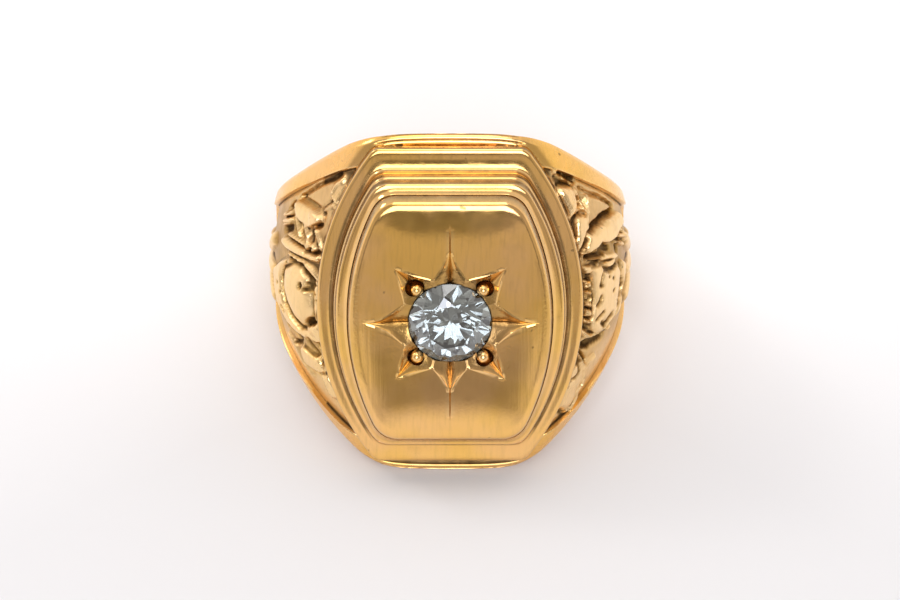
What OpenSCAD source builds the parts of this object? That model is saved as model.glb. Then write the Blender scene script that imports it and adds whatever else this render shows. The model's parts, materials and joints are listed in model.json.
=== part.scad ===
// A heavy gold signet ring: one casting with a stepped barrel-shaped head,
// carved shoulders and a plain shank, and a round brilliant set in an engraved star.
// The casting is drawn with the finger hole upright, then leant back by rest_tilt,
// which is how it lies by itself: on the head's lower edge and the back of the shank.
// Origin: the centre of the finger hole. -Y is the side of the face, +Z is up.

/* [Finger hole and shank] */
// Radius of the finger hole
bore_r = 9.3; // [9.2:0.05:9.5]
// Radius of the shank and of the shoulders' plain rims
rim_r = 11.1; // [11:0.05:11.3]
// Half width of the shank at the back
back_half_w = 2.7; // [2.4:0.1:3.2]

/* [Head] */
// Half length of the head along the finger, out to its end flanges
flange_half_l = 11.1; // [10.9:0.1:11.3]
// Height of the end flanges over the hole's axis
flange_h = 10.3; // [10.1:0.1:10.4]
// Height of the face's edge over the hole's axis
face_h = 13.6; // [13.4:0.05:13.8]
// Rise of the polished face from its edge to its middle
face_rise = 0.35; // [0.2:0.05:0.5]

/* [Shoulders] */
// Radius of the carved shoulders, seen along the finger
crown_r = 11.35; // [11.2:0.05:11.5]
// How far the shoulders' centre lies in front of the hole's axis
crown_shift = 2.5; // [2.2:0.1:2.8]
// Width of the plain rim beside each carved panel
rim_w = 1.5; // [1.2:0.1:1.8]
// Depth of the carved panels' ground
panel_sink = 0.5; // [0.4:0.05:0.6]
// How far the metal falls away at its rounded edges
edge_drop = 0.3; // [0.2:0.05:0.35]
// How far the back of the shank is crowned across its width
shank_crown = 0.35; // [0.2:0.05:0.4]

/* [Stone] */
// Diameter of the stone
stone_d = 5; // [4.8:0.1:5.2]
// Depth of the stone's girdle under the middle of the face
girdle_sink = 0.35; // [0.3:0.05:0.5]
// Gap between the stone and its seat
seat_gap = 0.05; // [0.04:0.01:0.08]
// Radius of the light hole that runs from the seat into the finger hole
light_hole_r = 0.9; // [0.7:0.1:1.1]

/* [Star] */
// Length of the two rays along the finger, from the stone's centre
ray_long = 6.4; // [6:0.1:6.6]
// Length of the two rays across the finger
ray_cross = 5.4; // [5.2:0.1:5.5]
// Length of the four slanting rays
ray_slant = 4.9; // [4.7:0.1:5.2]
// Depth at which the rays start under the stone's edge
ray_depth = 0.55; // [0.5:0.05:0.65]
// Radius of the four grains that hold the stone
grain_r = 0.28; // [0.25:0.01:0.32]

/* [Hidden] */

gold = "#d9a85c";
stone_r = stone_d / 2;
face_mid_h = face_h + face_rise;
girdle_h = face_mid_h - girdle_sink;

// The angle at which the ring lies, from its lowest points at front and back
rest_tilt = atan((flange_half_l - back_half_w)
    / (flange_h + rim_r - 2 * edge_drop - shank_crown));

// Half width of the ring at height n over the hole's axis, which grows with the cube
// from the back of the shank to the head's flanges
function half_w(n) = back_half_w
    + (flange_half_l - back_half_w) * pow((n + rim_r) / (flange_h + rim_r), 3);

// The head, level by level from its wall up to the face's edge:
// half width, half length, half length of the straight end, corner, height
head_levels = [
    [8.13, 10.20, 4.60, 0.5, face_h - 4.0],
    [8.13, 10.20, 4.60, 0.5, face_h - 2.85],
    [8.00, 10.05, 4.55, 0.5, face_h - 2.6],
    [7.45, 9.35, 4.50, 0.6, face_h - 2.3],
    [7.12, 8.90, 4.42, 0.7, face_h - 1.88],
    [7.02, 8.76, 4.40, 0.8, face_h - 1.2],
    [6.90, 8.60, 4.38, 0.9, face_h - 1.05],
    [6.45, 8.15, 4.25, 1.0, face_h - 0.85],
    [6.20, 7.95, 4.20, 1.1, face_h - 0.55],
    [6.12, 7.75, 4.18, 1.2, face_h - 0.2],
    [5.95, 7.45, 4.10, 1.3, face_h],
    [4.80, 6.00, 3.30, 1.1, face_h + 0.36 * face_rise],
    [3.40, 4.30, 2.35, 0.9, face_h + 0.68 * face_rise],
    [1.90, 2.40, 1.30, 0.5, face_h + 0.90 * face_rise]
];
side_steps = 12;
corner_steps = 3;

// Carving of the two shoulders. Each row is a ridge or a knob with a round top:
// angle and height of its one end, angle and height of its other end, half width, rise.
// Angles go round the finger from the face, heights along the finger, in mm.
left_carving = concat([
    [48.5, 0.3, 51.0, -0.6, 1.75, 0.62],   // smooth boss
    [60.5, 1.9, 63.0, 0.2, 0.30, 0.42],    // its border
    [63.0, 0.2, 58.5, -1.7, 0.30, 0.42],
    [58.5, -1.7, 50.0, -3.0, 0.30, 0.42],
    [50.0, -3.0, 41.0, -3.2, 0.30, 0.40],
    [59.5, 2.9, 38.0, 2.8, 0.48, 0.52],    // broad ribbon
    [57.0, 3.65, 40.0, 3.6, 0.20, 0.36],   // narrow ribbon
    [64.0, 4.0, 56.0, 4.9, 0.42, 0.46],    // slanting bar
    [56.0, 4.9, 41.0, 5.2, 0.50, 0.50],
    [51.5, 3.7, 51.0, 4.9, 0.24, 0.38],    // posts between bar and ribbon
    [46.5, 3.7, 46.0, 5.0, 0.24, 0.38],
    [42.0, 3.7, 41.5, 5.0, 0.24, 0.38],
    [38.0, 7.5, 34.0, 7.6, 0.34, 0.42],    // scroll
    [34.0, 7.6, 34.5, 6.4, 0.34, 0.42],
    [34.5, 6.4, 38.5, 6.1, 0.36, 0.46],
    [38.5, 6.1, 39.0, 6.9, 0.30, 0.42],
    [44.0, 6.0, 50.0, 5.9, 0.35, 0.34],    // leaf tip by the rim
    [45.5, -3.9, 39.0, -4.6, 0.62, 0.56],  // leaf lobes
    [58.0, -3.4, 50.0, -4.9, 0.42, 0.42],
    [38.0, -5.6, 32.0, -8.2, 0.26, 0.40],  // frame of the lower channel
    [42.0, -6.0, 36.0, -8.4, 0.26, 0.36]
    ],
    knobs(39.2, 1.9, 39.0, -2.6, 7, 0.28, 0.42),
    knobs(37.5, -6.6, 34.0, -8.2, 3, 0.30, 0.36),
    shank_leaves()
);

right_carving = concat([
    [34.0, 8.2, 40.5, 7.3, 0.28, 0.36],    // fold beside the rim
    [36.0, 7.1, 37.3, 5.9, 0.78, 0.56],    // round leaf lobe
    [46.0, 6.9, 42.0, 5.5, 0.28, 0.42],    // forked stalk
    [41.8, 6.9, 42.0, 5.5, 0.24, 0.42],
    [40.6, 5.2, 38.2, 3.5, 0.50, 0.54],    // pod
    [64.5, 3.9, 55.0, 3.9, 0.62, 0.54],    // jagged leaf
    [55.0, 3.9, 42.0, 3.6, 0.58, 0.58],
    [60.0, 3.9, 58.0, 4.8, 0.30, 0.44],
    [53.0, 4.0, 51.0, 4.9, 0.30, 0.44],
    [47.0, 3.8, 45.5, 4.6, 0.28, 0.44],
    [50.5, 0.6, 53.5, -0.9, 1.95, 0.46],   // oval shield
    [42.5, 2.3, 53.0, 2.6, 0.28, 0.48],    // its frame
    [53.0, 2.6, 62.5, 1.2, 0.28, 0.48],
    [62.5, 1.2, 63.0, -0.9, 0.28, 0.48],
    [63.0, -0.9, 55.0, -2.8, 0.28, 0.46],
    [55.0, -2.8, 43.0, -2.5, 0.28, 0.46],
    [60.0, -3.1, 46.0, -4.2, 0.36, 0.44],  // lower branch
    [39.0, -3.7, 36.8, -5.6, 0.74, 0.54],  // lower leaf
    [36.8, -5.6, 33.0, -8.0, 0.55, 0.50],
    [46.0, -4.2, 39.0, -7.2, 0.28, 0.36]
    ],
    knobs(40.6, 2.2, 41.0, -2.4, 7, 0.32, 0.44),
    shank_leaves()
);

// Both panels run out towards the shank in three leaves on a stalk.
function shank_leaves() = [
    [68.0, 2.0, 78.0, 0.9, 0.52, 0.40],
    [68.0, -1.9, 78.0, -0.9, 0.52, 0.40],
    [70.0, 0.0, 92.0, 0.0, 0.40, 0.42],
    [80.0, 1.6, 88.0, 0.7, 0.36, 0.34],
    [80.0, -1.6, 88.0, -0.7, 0.36, 0.34]
];

// A row of count knobs from one place to another
function knobs(a0, z0, a1, z1, count, r, rise) = [
    for (i = [0 : count - 1])
        let (t = i / (count - 1), a = a0 + t * (a1 - a0), z = z0 + t * (z1 - z0))
        [a, z, a, z, r, rise]
];

// Arc length of one degree on the carved shoulders
mm_per_deg = 12.4 * PI / 180;
// The skin of the ring is worked out on rows round the finger and columns along it.
panel_from = acos(flange_h / rim_r);
panel_bow = 88;
panel_to = 98;
row_step = 1.9;
shank_step = 9;
panel_columns = 24;
root_r = bore_r - 1;
edge_w = 0.45;
wall_run = 0.14;

// Distance on the shoulder from a place to a ridge's middle line
function ridge_gap(a, z, m) =
    let (
        ax = m[0] * mm_per_deg,
        bx = m[2] * mm_per_deg - ax,
        bz = m[3] - m[1],
        px = a * mm_per_deg - ax,
        pz = z - m[1],
        len2 = bx * bx + bz * bz,
        t = len2 == 0 ? 0 : max(0, min(1, (px * bx + pz * bz) / len2))
    )
    norm([px - t * bx, pz - t * bz]);

function ridge_rise(a, z, m) =
    let (d = ridge_gap(a, z, m) / m[4]) d >= 1 ? 0 : m[5] * pow(1 - d * d, 0.6);

function carving_rise(a, z, carving) = max([for (m = carving) ridge_rise(a, z, m)]);

// Radius at angle a of the shoulders' crown, an arc whose centre lies forward
function crown_at(a) =
    let (b = crown_shift * cos(a))
    max(rim_r, b + sqrt(b * b - crown_shift * crown_shift + crown_r * crown_r));

// Height over the axis of the rim's edge at angle a, which the flanges cut off flat
function rim_n(a) = min(flange_h, rim_r * cos(a));

// Half width of the carved panel, which ends towards the shank in a round arch
function panel_half_w(a) =
    let (
        wide = half_w(rim_n(a)) - rim_w,
        bow = max(0, (a - panel_bow) / (panel_to - panel_bow))
    )
    bow >= 1 ? 0 : wide * sqrt(1 - bow * bow);

// The shank and the rims: crowned at the shoulders and again round the back
function plain_r(a, z) =
    let (
        w = half_w(rim_n(a)),
        s = min(1, abs(z) / w),
        back = max(0, min(1, (a - 90) / 60)),
        edge = max(0, 1 - (w - abs(z)) / edge_w)
    )
    rim_r + (crown_at(a) - rim_r) * (1 - pow(s, 2.5))
        - edge_drop * edge * edge - shank_crown * back * pow(s, 3);

// The panel's ground lies deeper and its carving rises from it. The head and its
// flanges stand on a flat that cuts everything at the flanges' height.
function skin_r(a, z, carving) =
    let (
        inside = max(0, min(1, (panel_half_w(a) - abs(z)) / wall_run)),
        carved = inside == 0 ? 0 : inside * (carving_rise(a, z, carving) - panel_sink),
        edge = max(0, 1 - (half_w(rim_n(a)) - abs(z)) / edge_w),
        flat = (flange_h - edge_drop * edge * edge) / max(0.01, cos(a))
    )
    min(plain_r(a, z) + carved, flat);

// Places along the finger at which a row has its points
function row_places(a) =
    let (
        w = half_w(rim_n(a)),
        b = max(0.4 * (w - rim_w), panel_half_w(a)),
        half = concat(
            [for (j = [1 : panel_columns / 2]) (b - wall_run) * 2 * j / panel_columns],
            [b, w - edge_w, w - edge_w / 3, w]
        )
    )
    concat([for (j = [len(half) - 1 : -1 : 0]) -half[j]], [0], half);

// Outline of the head at one level: bowed sides, straight ends, rounded corners,
// anticlockwise from the right-hand side's middle
function head_outline(hw, hl, he, corner) =
    let (
        bow_r = (pow(hw - he, 2) + hl * hl) / (2 * (hw - he)),
        half_bow = asin(hl / bow_r),
        trim = asin(corner / bow_r),
        reach = half_bow - trim,
        side = [for (i = [0 : side_steps])
            let (t = reach * (2 * i / side_steps - 1))
            [hw - bow_r + bow_r * cos(t), bow_r * sin(t)]],
        from = side[side_steps],
        tip = [he, hl],
        to = [he - corner, hl],
        bend = [for (i = [1 : corner_steps])
            let (t = i / corner_steps)
            from * pow(1 - t, 2) + tip * 2 * t * (1 - t) + to * pow(t, 2)],
        upper_right = [for (i = [side_steps / 2 : side_steps]) side[i]],
        quarter = concat(upper_right, bend),
        n = len(quarter)
    )
    concat(
        quarter,
        [for (i = [n - 1 : -1 : 1]) [-quarter[i][0], quarter[i][1]]],
        [for (p = quarter) [-p[0], -p[1]]],
        [for (i = [n - 1 : -1 : 1]) [quarter[i][0], -quarter[i][1]]]
    );

// A closed form from a list of levels, with a point in the middle of the top
module stepped_head() {
    rings = [for (l = head_levels) head_outline(l[0], l[1], l[2], l[3])];
    count = len(rings[0]);
    levels = len(rings);
    points = concat(
        [for (k = [0 : levels - 1]) for (p = rings[k]) [p[0], -head_levels[k][4], p[1]]],
        [[0, -face_mid_h, 0]]
    );
    base = [[for (i = [0 : count - 1]) i]];
    wall = [for (k = [0 : levels - 2]) for (i = [0 : count - 1])
        let (
            j = (i + 1) % count,
            a = k * count + i,
            b = k * count + j,
            c = a + count,
            d = b + count
        )
        each [[a, c, b], [b, c, d]]];
    top = [for (i = [0 : count - 1])
        let (first = (levels - 1) * count)
        [first + i, levels * count, first + (i + 1) % count]];
    polyhedron(points = points, faces = concat(base, wall, top));
}

// Angles of the rows on the +X side
side_rows = concat(
    [panel_from / 3, panel_from * 2 / 3],
    [for (a = [panel_from : row_step : panel_to + row_step]) a],
    [for (a = [panel_to + 2 * row_step : shank_step : 179]) a]
);
all_rows = concat(
    [0], side_rows, [180], [for (i = [len(side_rows) - 1 : -1 : 0]) -side_rows[i]]
);

// Shank, rims, flanges and carved panels as one closed form, before the hole is bored
module carved_blank() {
    columns = len(row_places(0));
    rows = len(all_rows);
    outer = [for (a = all_rows)
        let (b = abs(a), carving = a < 0 ? left_carving : right_carving)
        for (z = row_places(b))
            let (r = skin_r(b, z, carving))
            [r * sin(a), -r * cos(a), z]];
    root = [for (a = all_rows)
        let (w = half_w(min(flange_h, root_r * cos(a))))
        for (s = [-1, 1]) [root_r * sin(a), -root_r * cos(a), s * w]];
    first_root = rows * columns;
    skin = [for (i = [0 : rows - 1]) for (j = [0 : columns - 2])
        let (a = i * columns + j, b = a + 1, c = ((i + 1) % rows) * columns + j, d = c + 1)
        each [[a, b, d], [a, d, c]]];
    inside = [for (i = [0 : rows - 1])
        let (a = first_root + 2 * i, b = first_root + 2 * ((i + 1) % rows))
        each [[a, b, b + 1], [a, b + 1, a + 1]]];
    edges = [for (i = [0 : rows - 1])
        let (
            next = (i + 1) % rows,
            low = i * columns,
            low_next = next * columns,
            high = low + columns - 1,
            high_next = low_next + columns - 1,
            r = first_root + 2 * i,
            r_next = first_root + 2 * next
        )
        each [
            [low, low_next, r], [low_next, r_next, r],
            [high, r + 1, high_next], [high_next, r + 1, r_next + 1]
        ]];
    polyhedron(points = concat(outer, root), faces = concat(skin, inside, edges));
}

// One ray: a groove with a V section that runs out at its tip
module ray(turn, length, half_base) {
    start = 0.7 * stone_r;
    tip_w = 0.08;
    tip_depth = 0.12;
    clear = 0.1;
    translate([0, -face_mid_h, 0]) rotate([0, -turn, 0])
        polyhedron(
            points = [
                [start, -clear, -half_base], [start, -clear, half_base],
                [start, ray_depth, 0],
                [length, -clear, -tip_w], [length, -clear, tip_w], [length, tip_depth, 0]
            ],
            faces = [[0, 2, 1], [3, 4, 5], [0, 1, 4, 3], [1, 2, 5, 4], [2, 0, 3, 5]]
        );
}

slants = [47, 133, 227, 313];

module star() {
    for (turn = [0, 180]) ray(turn, ray_cross, 1.9);
    for (turn = [90, 270]) ray(turn, ray_long, 1.4);
    for (turn = slants) ray(turn, ray_slant, 1.7);
}

// The stone's seat: a bearing for the girdle, a cone for the pavilion and a light hole
module seat() {
    r = stone_r + seat_gap;
    deep = pavilion_h + 2 * seat_gap;
    bearing_h = girdle_h - girdle_half_h - seat_gap;
    rotate([90, 0, 0]) {
        translate([0, 0, bearing_h]) cylinder(r = r, h = 2, $fn = 96);
        translate([0, 0, bearing_h - deep]) cylinder(r1 = 0.05, r2 = r, h = deep, $fn = 96);
        cylinder(r = light_hole_r, h = girdle_h, $fn = 48);
    }
}

// Grains raised from the metal at the roots of the slanting rays, just clear of the stone
module grains() {
    for (turn = slants)
        rotate([0, -turn, 0])
            translate([stone_r + grain_r + 0.04, -girdle_h - 0.2, 0])
                sphere(r = grain_r, $fn = 24);
}

module ring_body() {
    color(gold) rotate([-rest_tilt, 0, 0]) {
        difference() {
            union() {
                carved_blank();
                stepped_head();
            }
            cylinder(r = bore_r, h = 4 * flange_half_l, center = true, $fn = 180);
            star();
            seat();
        }
        grains();
    }
}

// Round brilliant: heights and radii in parts of the stone's radius
table_part = 0.56;
crown_part = 0.3;
star_part = 0.76;
pavilion_part = 0.86;
lower_part = 0.24;
girdle_half_h = 0.05;
pavilion_h = pavilion_part * stone_r;

function around(turn, r, h) = [r * cos(turn), r * sin(turn), h];

// The stone with its girdle at zero height and its table up
module brilliant() {
    top = girdle_half_h;
    crown_h = crown_part * stone_r;
    half = 22.5;
    star_h = top + crown_h * (1 - star_part * cos(half)) / (1 - table_part);
    lower_h = -girdle_half_h - pavilion_h * (1 - lower_part * cos(half));
    points = concat(
        [for (k = [0 : 7]) around(45 * k, table_part * stone_r, top + crown_h)],
        [for (k = [0 : 7]) around(45 * k + half, star_part * stone_r, star_h)],
        [for (k = [0 : 15]) around(half * k, stone_r, top)],
        [for (k = [0 : 15]) around(half * k, stone_r, -girdle_half_h)],
        [for (k = [0 : 7]) around(45 * k + half, lower_part * stone_r, lower_h)],
        [[0, 0, -girdle_half_h - pavilion_h]]
    );
    culet = 56;
    table = [[for (k = [7 : -1 : 0]) k]];
    crown = [for (k = [0 : 7])
        let (
            next = (k + 1) % 8, star = 8 + k, back = 8 + (k + 7) % 8,
            g = 16 + 2 * k, mid = g + 1, g_next = 16 + 2 * next
        )
        each [
            [k, next, star], [k, star, g], [k, g, back],
            [star, mid, g], [star, g_next, mid]
        ]];
    girdle = [for (k = [0 : 15])
        let (a = 16 + k, b = 16 + (k + 1) % 16)
        [a, b, b + 16, a + 16]];
    pavilion = [for (k = [0 : 7])
        let (
            next = (k + 1) % 8, low = 48 + k, low_back = 48 + (k + 7) % 8,
            g = 32 + 2 * k, mid = g + 1, g_next = 32 + 2 * next
        )
        each [
            [low, g, mid], [low, mid, g_next],
            [low, culet, g], [culet, low_back, g]
        ]];
    polyhedron(points = points, faces = concat(table, crown, girdle, pavilion));
}

module diamond() {
    color("#dfe6ec") rotate([-rest_tilt, 0, 0])
        translate([0, -girdle_h, 0]) rotate([90, 11.25, 0]) brilliant();
}

ring_body();
diamond();
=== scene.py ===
# %% [markdown]
# # A gold signet ring with a star-set brilliant
# The ring is one casting: a plain shank, two carved shoulders and a stepped head whose
# polished face holds a round brilliant in an engraved star. Everything is modelled in
# millimetres with the finger hole upright, then scaled to metres and leant back to the
# angle at which the ring lies by itself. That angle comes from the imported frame.

# %% Load the frame
import json
import math
from collections import namedtuple

import bpy
import numpy as np
from mathutils import Matrix, Vector


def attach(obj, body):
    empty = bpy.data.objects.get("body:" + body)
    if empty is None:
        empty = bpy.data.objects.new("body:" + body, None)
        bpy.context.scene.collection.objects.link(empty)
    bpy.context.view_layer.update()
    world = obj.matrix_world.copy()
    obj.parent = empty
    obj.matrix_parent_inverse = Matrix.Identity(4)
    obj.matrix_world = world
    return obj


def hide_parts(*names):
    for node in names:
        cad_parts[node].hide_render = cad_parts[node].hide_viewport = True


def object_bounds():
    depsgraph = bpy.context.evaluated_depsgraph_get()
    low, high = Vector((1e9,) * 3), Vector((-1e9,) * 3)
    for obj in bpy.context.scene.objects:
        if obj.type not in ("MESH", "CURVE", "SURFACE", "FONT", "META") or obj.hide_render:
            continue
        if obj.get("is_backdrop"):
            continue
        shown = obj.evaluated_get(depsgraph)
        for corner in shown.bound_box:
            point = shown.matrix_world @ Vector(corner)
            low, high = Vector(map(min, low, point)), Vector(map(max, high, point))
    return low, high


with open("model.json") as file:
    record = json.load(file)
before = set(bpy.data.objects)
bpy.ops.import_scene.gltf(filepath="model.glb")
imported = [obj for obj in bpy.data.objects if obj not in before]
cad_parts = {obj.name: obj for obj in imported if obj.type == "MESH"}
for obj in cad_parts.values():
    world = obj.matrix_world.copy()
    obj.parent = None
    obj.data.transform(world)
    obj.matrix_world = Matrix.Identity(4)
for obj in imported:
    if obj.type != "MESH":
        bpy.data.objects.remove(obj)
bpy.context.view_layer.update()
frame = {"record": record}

finger_mount = frame["record"]["mounts"][0]
BORE_R = finger_mount["dims"]["r_mm"]
LEAN = math.atan2(finger_mount["axis"][1], finger_mount["axis"][2])
print("finger hole", 2 * BORE_R, "mm across, leaning", round(math.degrees(LEAN), 2), "degrees")

# %% [markdown]
# ## Driving sizes
# These are the sizes of the CAD part, in millimetres. n is a height over the hole's axis
# towards the face, z is a place along the finger, and an angle goes round the finger from
# the middle of the face.

# %% Sizes of the shank, shoulders and head
RIM_R = 11.1
BACK_HALF_W = 2.7
FLANGE_HALF_L = 11.1
FLANGE_H = 10.3
FACE_H = 13.6
FACE_RISE = 0.32
CROWN_R = 11.35
CROWN_SHIFT = 2.5
RIM_W = 1.5
RIM_NARROWS = 0.35
PANEL_SINK = 0.4
EDGE_DROP = 0.2
SHANK_CROWN = 0.35
EDGE_W = 0.36
CORNER_SOFT = 0.28
PANEL_BOW = 88
PANEL_TO = 98
SHOULDER = (30, 58)
ROOT_R = BORE_R - 1
CARVED_R = 12.4
MM_PER_DEG = math.radians(CARVED_R)


def half_width(n):
    """Half width of the ring along the finger at height n, a cubic from back to flange."""
    t = (n + RIM_R) / (FLANGE_H + RIM_R)
    return BACK_HALF_W + (FLANGE_HALF_L - BACK_HALF_W) * t ** 3


print("shank", 2 * BACK_HALF_W, "mm wide at the back,", 2 * FLANGE_HALF_L, "mm at the flanges")

# %% [markdown]
# ## Working in edit mode
# Operators act on all that is selected, so everything is deselected before a new piece
# starts. Each blank is a primitive whose rows and columns are known, and the rows are then
# set to their sections in code, as a caster's wax is trued on a mandrel.

# %% Helpers for editing and placing


def only(obj):
    """Deselect everything, then select one object and make it active."""
    bpy.ops.object.select_all(action="DESELECT")
    obj.select_set(True)
    bpy.context.view_layer.objects.active = obj


def take_new(name):
    """Name the object that an operator has just added."""
    obj = bpy.context.view_layer.objects.active
    obj.name = name
    obj.data.name = name
    return obj


def coordinates(obj):
    """The places of a mesh's points, one row each."""
    flat = np.empty(3 * len(obj.data.vertices))
    obj.data.vertices.foreach_get("co", flat)
    return flat.reshape(-1, 3)


def set_coordinates(obj, places):
    obj.data.vertices.foreach_set("co", np.ascontiguousarray(places, dtype=np.float64).ravel())
    obj.data.update()


def edit_all(obj):
    """Open one object in edit mode with all of it selected."""
    only(obj)
    bpy.ops.object.mode_set(mode="EDIT")
    bpy.ops.mesh.select_all(action="SELECT")


def apply_place(obj):
    """Put an object's place, turn and scale into its mesh."""
    only(obj)
    bpy.ops.object.transform_apply(location=True, rotation=True, scale=True)


def true_normals(obj):
    """Turn all faces of a closed piece outwards."""
    edit_all(obj)
    bpy.ops.mesh.normals_make_consistent(inside=False)
    bpy.ops.object.mode_set(mode="OBJECT")


def cut_or_join(obj, tool, operation):
    """Apply a Boolean modifier and remove its tool."""
    only(obj)
    step = obj.modifiers.new(operation.lower(), "BOOLEAN")
    step.operation = operation
    step.solver = "MANIFOLD"
    step.object = tool
    bpy.ops.object.modifier_apply(modifier=step.name)
    bpy.data.objects.remove(tool, do_unlink=True)


def lay_down(obj):
    """Millimetres to metres, then lean the piece back to the ring's resting angle."""
    obj.scale = (0.001, 0.001, 0.001)
    obj.rotation_euler = (-LEAN, 0, 0)
    apply_place(obj)


print("helpers ready")

# %% [markdown]
# ## The carving
# The panels on the shoulders are generic ornament: ribbons, leaves, a bar and a smooth boss
# on one side, and a shield with leaves on the other. It could be sculpted, but a table can be
# read and corrected. A carver first leaves plates standing, then raises ridges, then cuts
# lines and pits, and the tables follow that order. Each row holds a rise or depth, a width of
# the rounded edge or half width of the line, and a line of (angle, place along the finger).
# A plate's line is closed.

# %% The carving's last leaves, which run out on the shank
SHANK_LEAVES = [
    (0.34, 0.50, [(69.0, 2.0), (78.0, 0.9)]),
    (0.34, 0.50, [(69.0, -1.9), (78.0, -0.9)]),
    (0.36, 0.40, [(68.0, 0.0), (92.0, 0.0)]),
    (0.30, 0.36, [(80.0, 1.6), (88.0, 0.7)]),
    (0.30, 0.36, [(80.0, -1.6), (88.0, -0.7)]),
]
print(len(SHANK_LEAVES), "leaves towards the shank, on each side")

# %% The left shoulder: bar, ribbons, boss, fan and leaves
LEFT_PLATES = [
    # bar
    (0.30, 0.16, [(54.6, 5.36), (51.2, 5.58), (46.0, 5.54), (41.5, 5.60), (39.6, 5.40), (39.3, 5.08),
      (41.9, 4.54), (44.3, 4.40), (46.7, 4.46), (49.4, 4.50), (52.3, 4.80)]),
    # leaf by the head
    (0.16, 0.25, [(33.7, 7.82), (35.8, 7.46), (36.7, 6.94), (35.8, 6.66), (33.1, 6.50), (31.2, 6.98),
      (31.3, 7.64)]),
    # ribbon
    (0.34, 0.22, [(59.2, 2.86), (56.4, 3.00), (50.3, 3.04), (44.5, 2.98), (40.1, 2.94), (38.0, 3.06),
      (37.6, 2.86), (38.5, 2.52), (41.1, 2.48), (44.7, 2.46), (49.8, 2.40), (55.0, 2.36), (58.6, 2.50)]),
    # lower ribbon
    (0.24, 0.14, [(55.5, 2.26), (45.5, 2.30), (40.6, 2.10), (37.0, 1.48), (38.3, 1.28), (41.3, 1.60),
      (44.9, 1.94), (53.5, 1.98)]),
    # boss
    (0.52, 1.10, [(55.4, 1.20), (50.0, 1.80), (44.9, 1.84), (41.3, 1.42), (39.8, 0.66), (39.8, -0.64),
      (41.6, -1.68), (44.9, -2.12), (49.5, -1.82), (53.4, -1.08), (56.1, -0.06)]),
    # border of the boss
    (0.34, 0.18, [(65.6, 0.38), (58.6, 1.34), (53.4, 1.84), (49.5, 1.90), (55.7, 1.20), (57.8, 0.46),
      (57.2, -0.46), (55.8, -1.28), (52.2, -1.86), (47.3, -2.32), (42.6, -2.38), (43.7, -2.90),
      (48.7, -2.82), (54.0, -2.58), (62.3, -1.72), (64.7, -0.78)]),
    # strip by the head
    (0.24, 0.12, [(40.2, 1.32), (37.9, 1.46), (37.6, 0.10), (37.5, -1.22), (39.9, -1.40), (40.2, -0.08)]),
    # fan
    (0.22, 0.20, [(46.3, -2.32), (41.8, -1.74), (38.5, -1.30), (36.8, -1.60), (36.2, -2.54),
      (38.4, -2.80), (40.9, -2.84), (44.3, -2.68)]),
    # lower leaf
    (0.36, 0.25, [(48.0, -3.76), (45.6, -3.38), (44.2, -3.54), (39.6, -3.80), (37.6, -4.02),
      (37.5, -4.72), (39.4, -5.00), (41.4, -4.96), (46.0, -4.92), (47.7, -4.40)]),
    # last leaf
    (0.26, 0.20, [(39.1, -5.02), (36.4, -4.86), (34.1, -5.66), (33.9, -6.32), (36.1, -6.58),
      (37.6, -5.96)]),
]
print(len(LEFT_PLATES), "plates on the left shoulder")

# %% The left shoulder's ridges
LEFT_RIDGES = [
    # rib of the bar
    (0.20, 0.12, [(43.4, 5.40), (40.5, 5.64)]),
    (0.20, 0.12, [(43.3, 5.20), (40.1, 5.44)]),
    (0.20, 0.12, [(43.0, 5.00), (39.6, 5.24)]),
    (0.20, 0.12, [(42.6, 4.80), (39.5, 5.02)]),
    # zigzag
    (0.20, 0.13, [(39.2, 5.68), (37.3, 6.04), (35.4, 6.32), (33.9, 6.10), (32.7, 6.40)]),
    # leg
    (0.26, 0.15, [(51.4, 4.64), (48.0, 3.66)]),
    (0.26, 0.16, [(45.7, 4.36), (44.1, 3.90), (43.7, 3.44)]),
    (0.24, 0.16, [(41.0, 4.44), (39.2, 4.00), (38.0, 3.46)]),
    # outer rib
    (0.26, 0.17, [(60.1, 4.18), (55.5, 4.56)]),
    (0.26, 0.15, [(59.9, 3.80), (54.7, 4.22)]),
    (0.22, 0.13, [(59.6, 3.54), (55.0, 3.92)]),
    # line over the ribbon
    (0.28, 0.14, [(54.4, 3.34), (48.9, 3.34), (44.5, 3.24)]),
    # coil
    (0.30, 0.14, [(43.7, 3.10), (43.5, 3.36), (41.5, 3.48), (40.5, 3.30), (41.7, 3.06)]),
    # rim of the leaf
    (0.24, 0.14, [(32.9, 7.90), (35.5, 7.50), (36.7, 6.94), (35.6, 6.66), (32.9, 6.48)]),
    # fan rib
    (0.16, 0.13, [(43.5, -2.54), (39.0, -2.84), (36.7, -2.60)]),
    (0.16, 0.13, [(41.9, -2.04), (37.3, -2.38)]),
    (0.16, 0.13, [(40.0, -1.82), (37.1, -2.06)]),
    # line by the leaf
    (0.22, 0.13, [(38.8, -5.08), (38.0, -5.50), (36.5, -6.38)]),
    # outer line
    (0.20, 0.15, [(56.4, -3.54), (52.8, -4.04), (49.6, -4.92), (44.7, -5.60)]),
]
print(len(LEFT_RIDGES), "ridges on the left shoulder")

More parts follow.
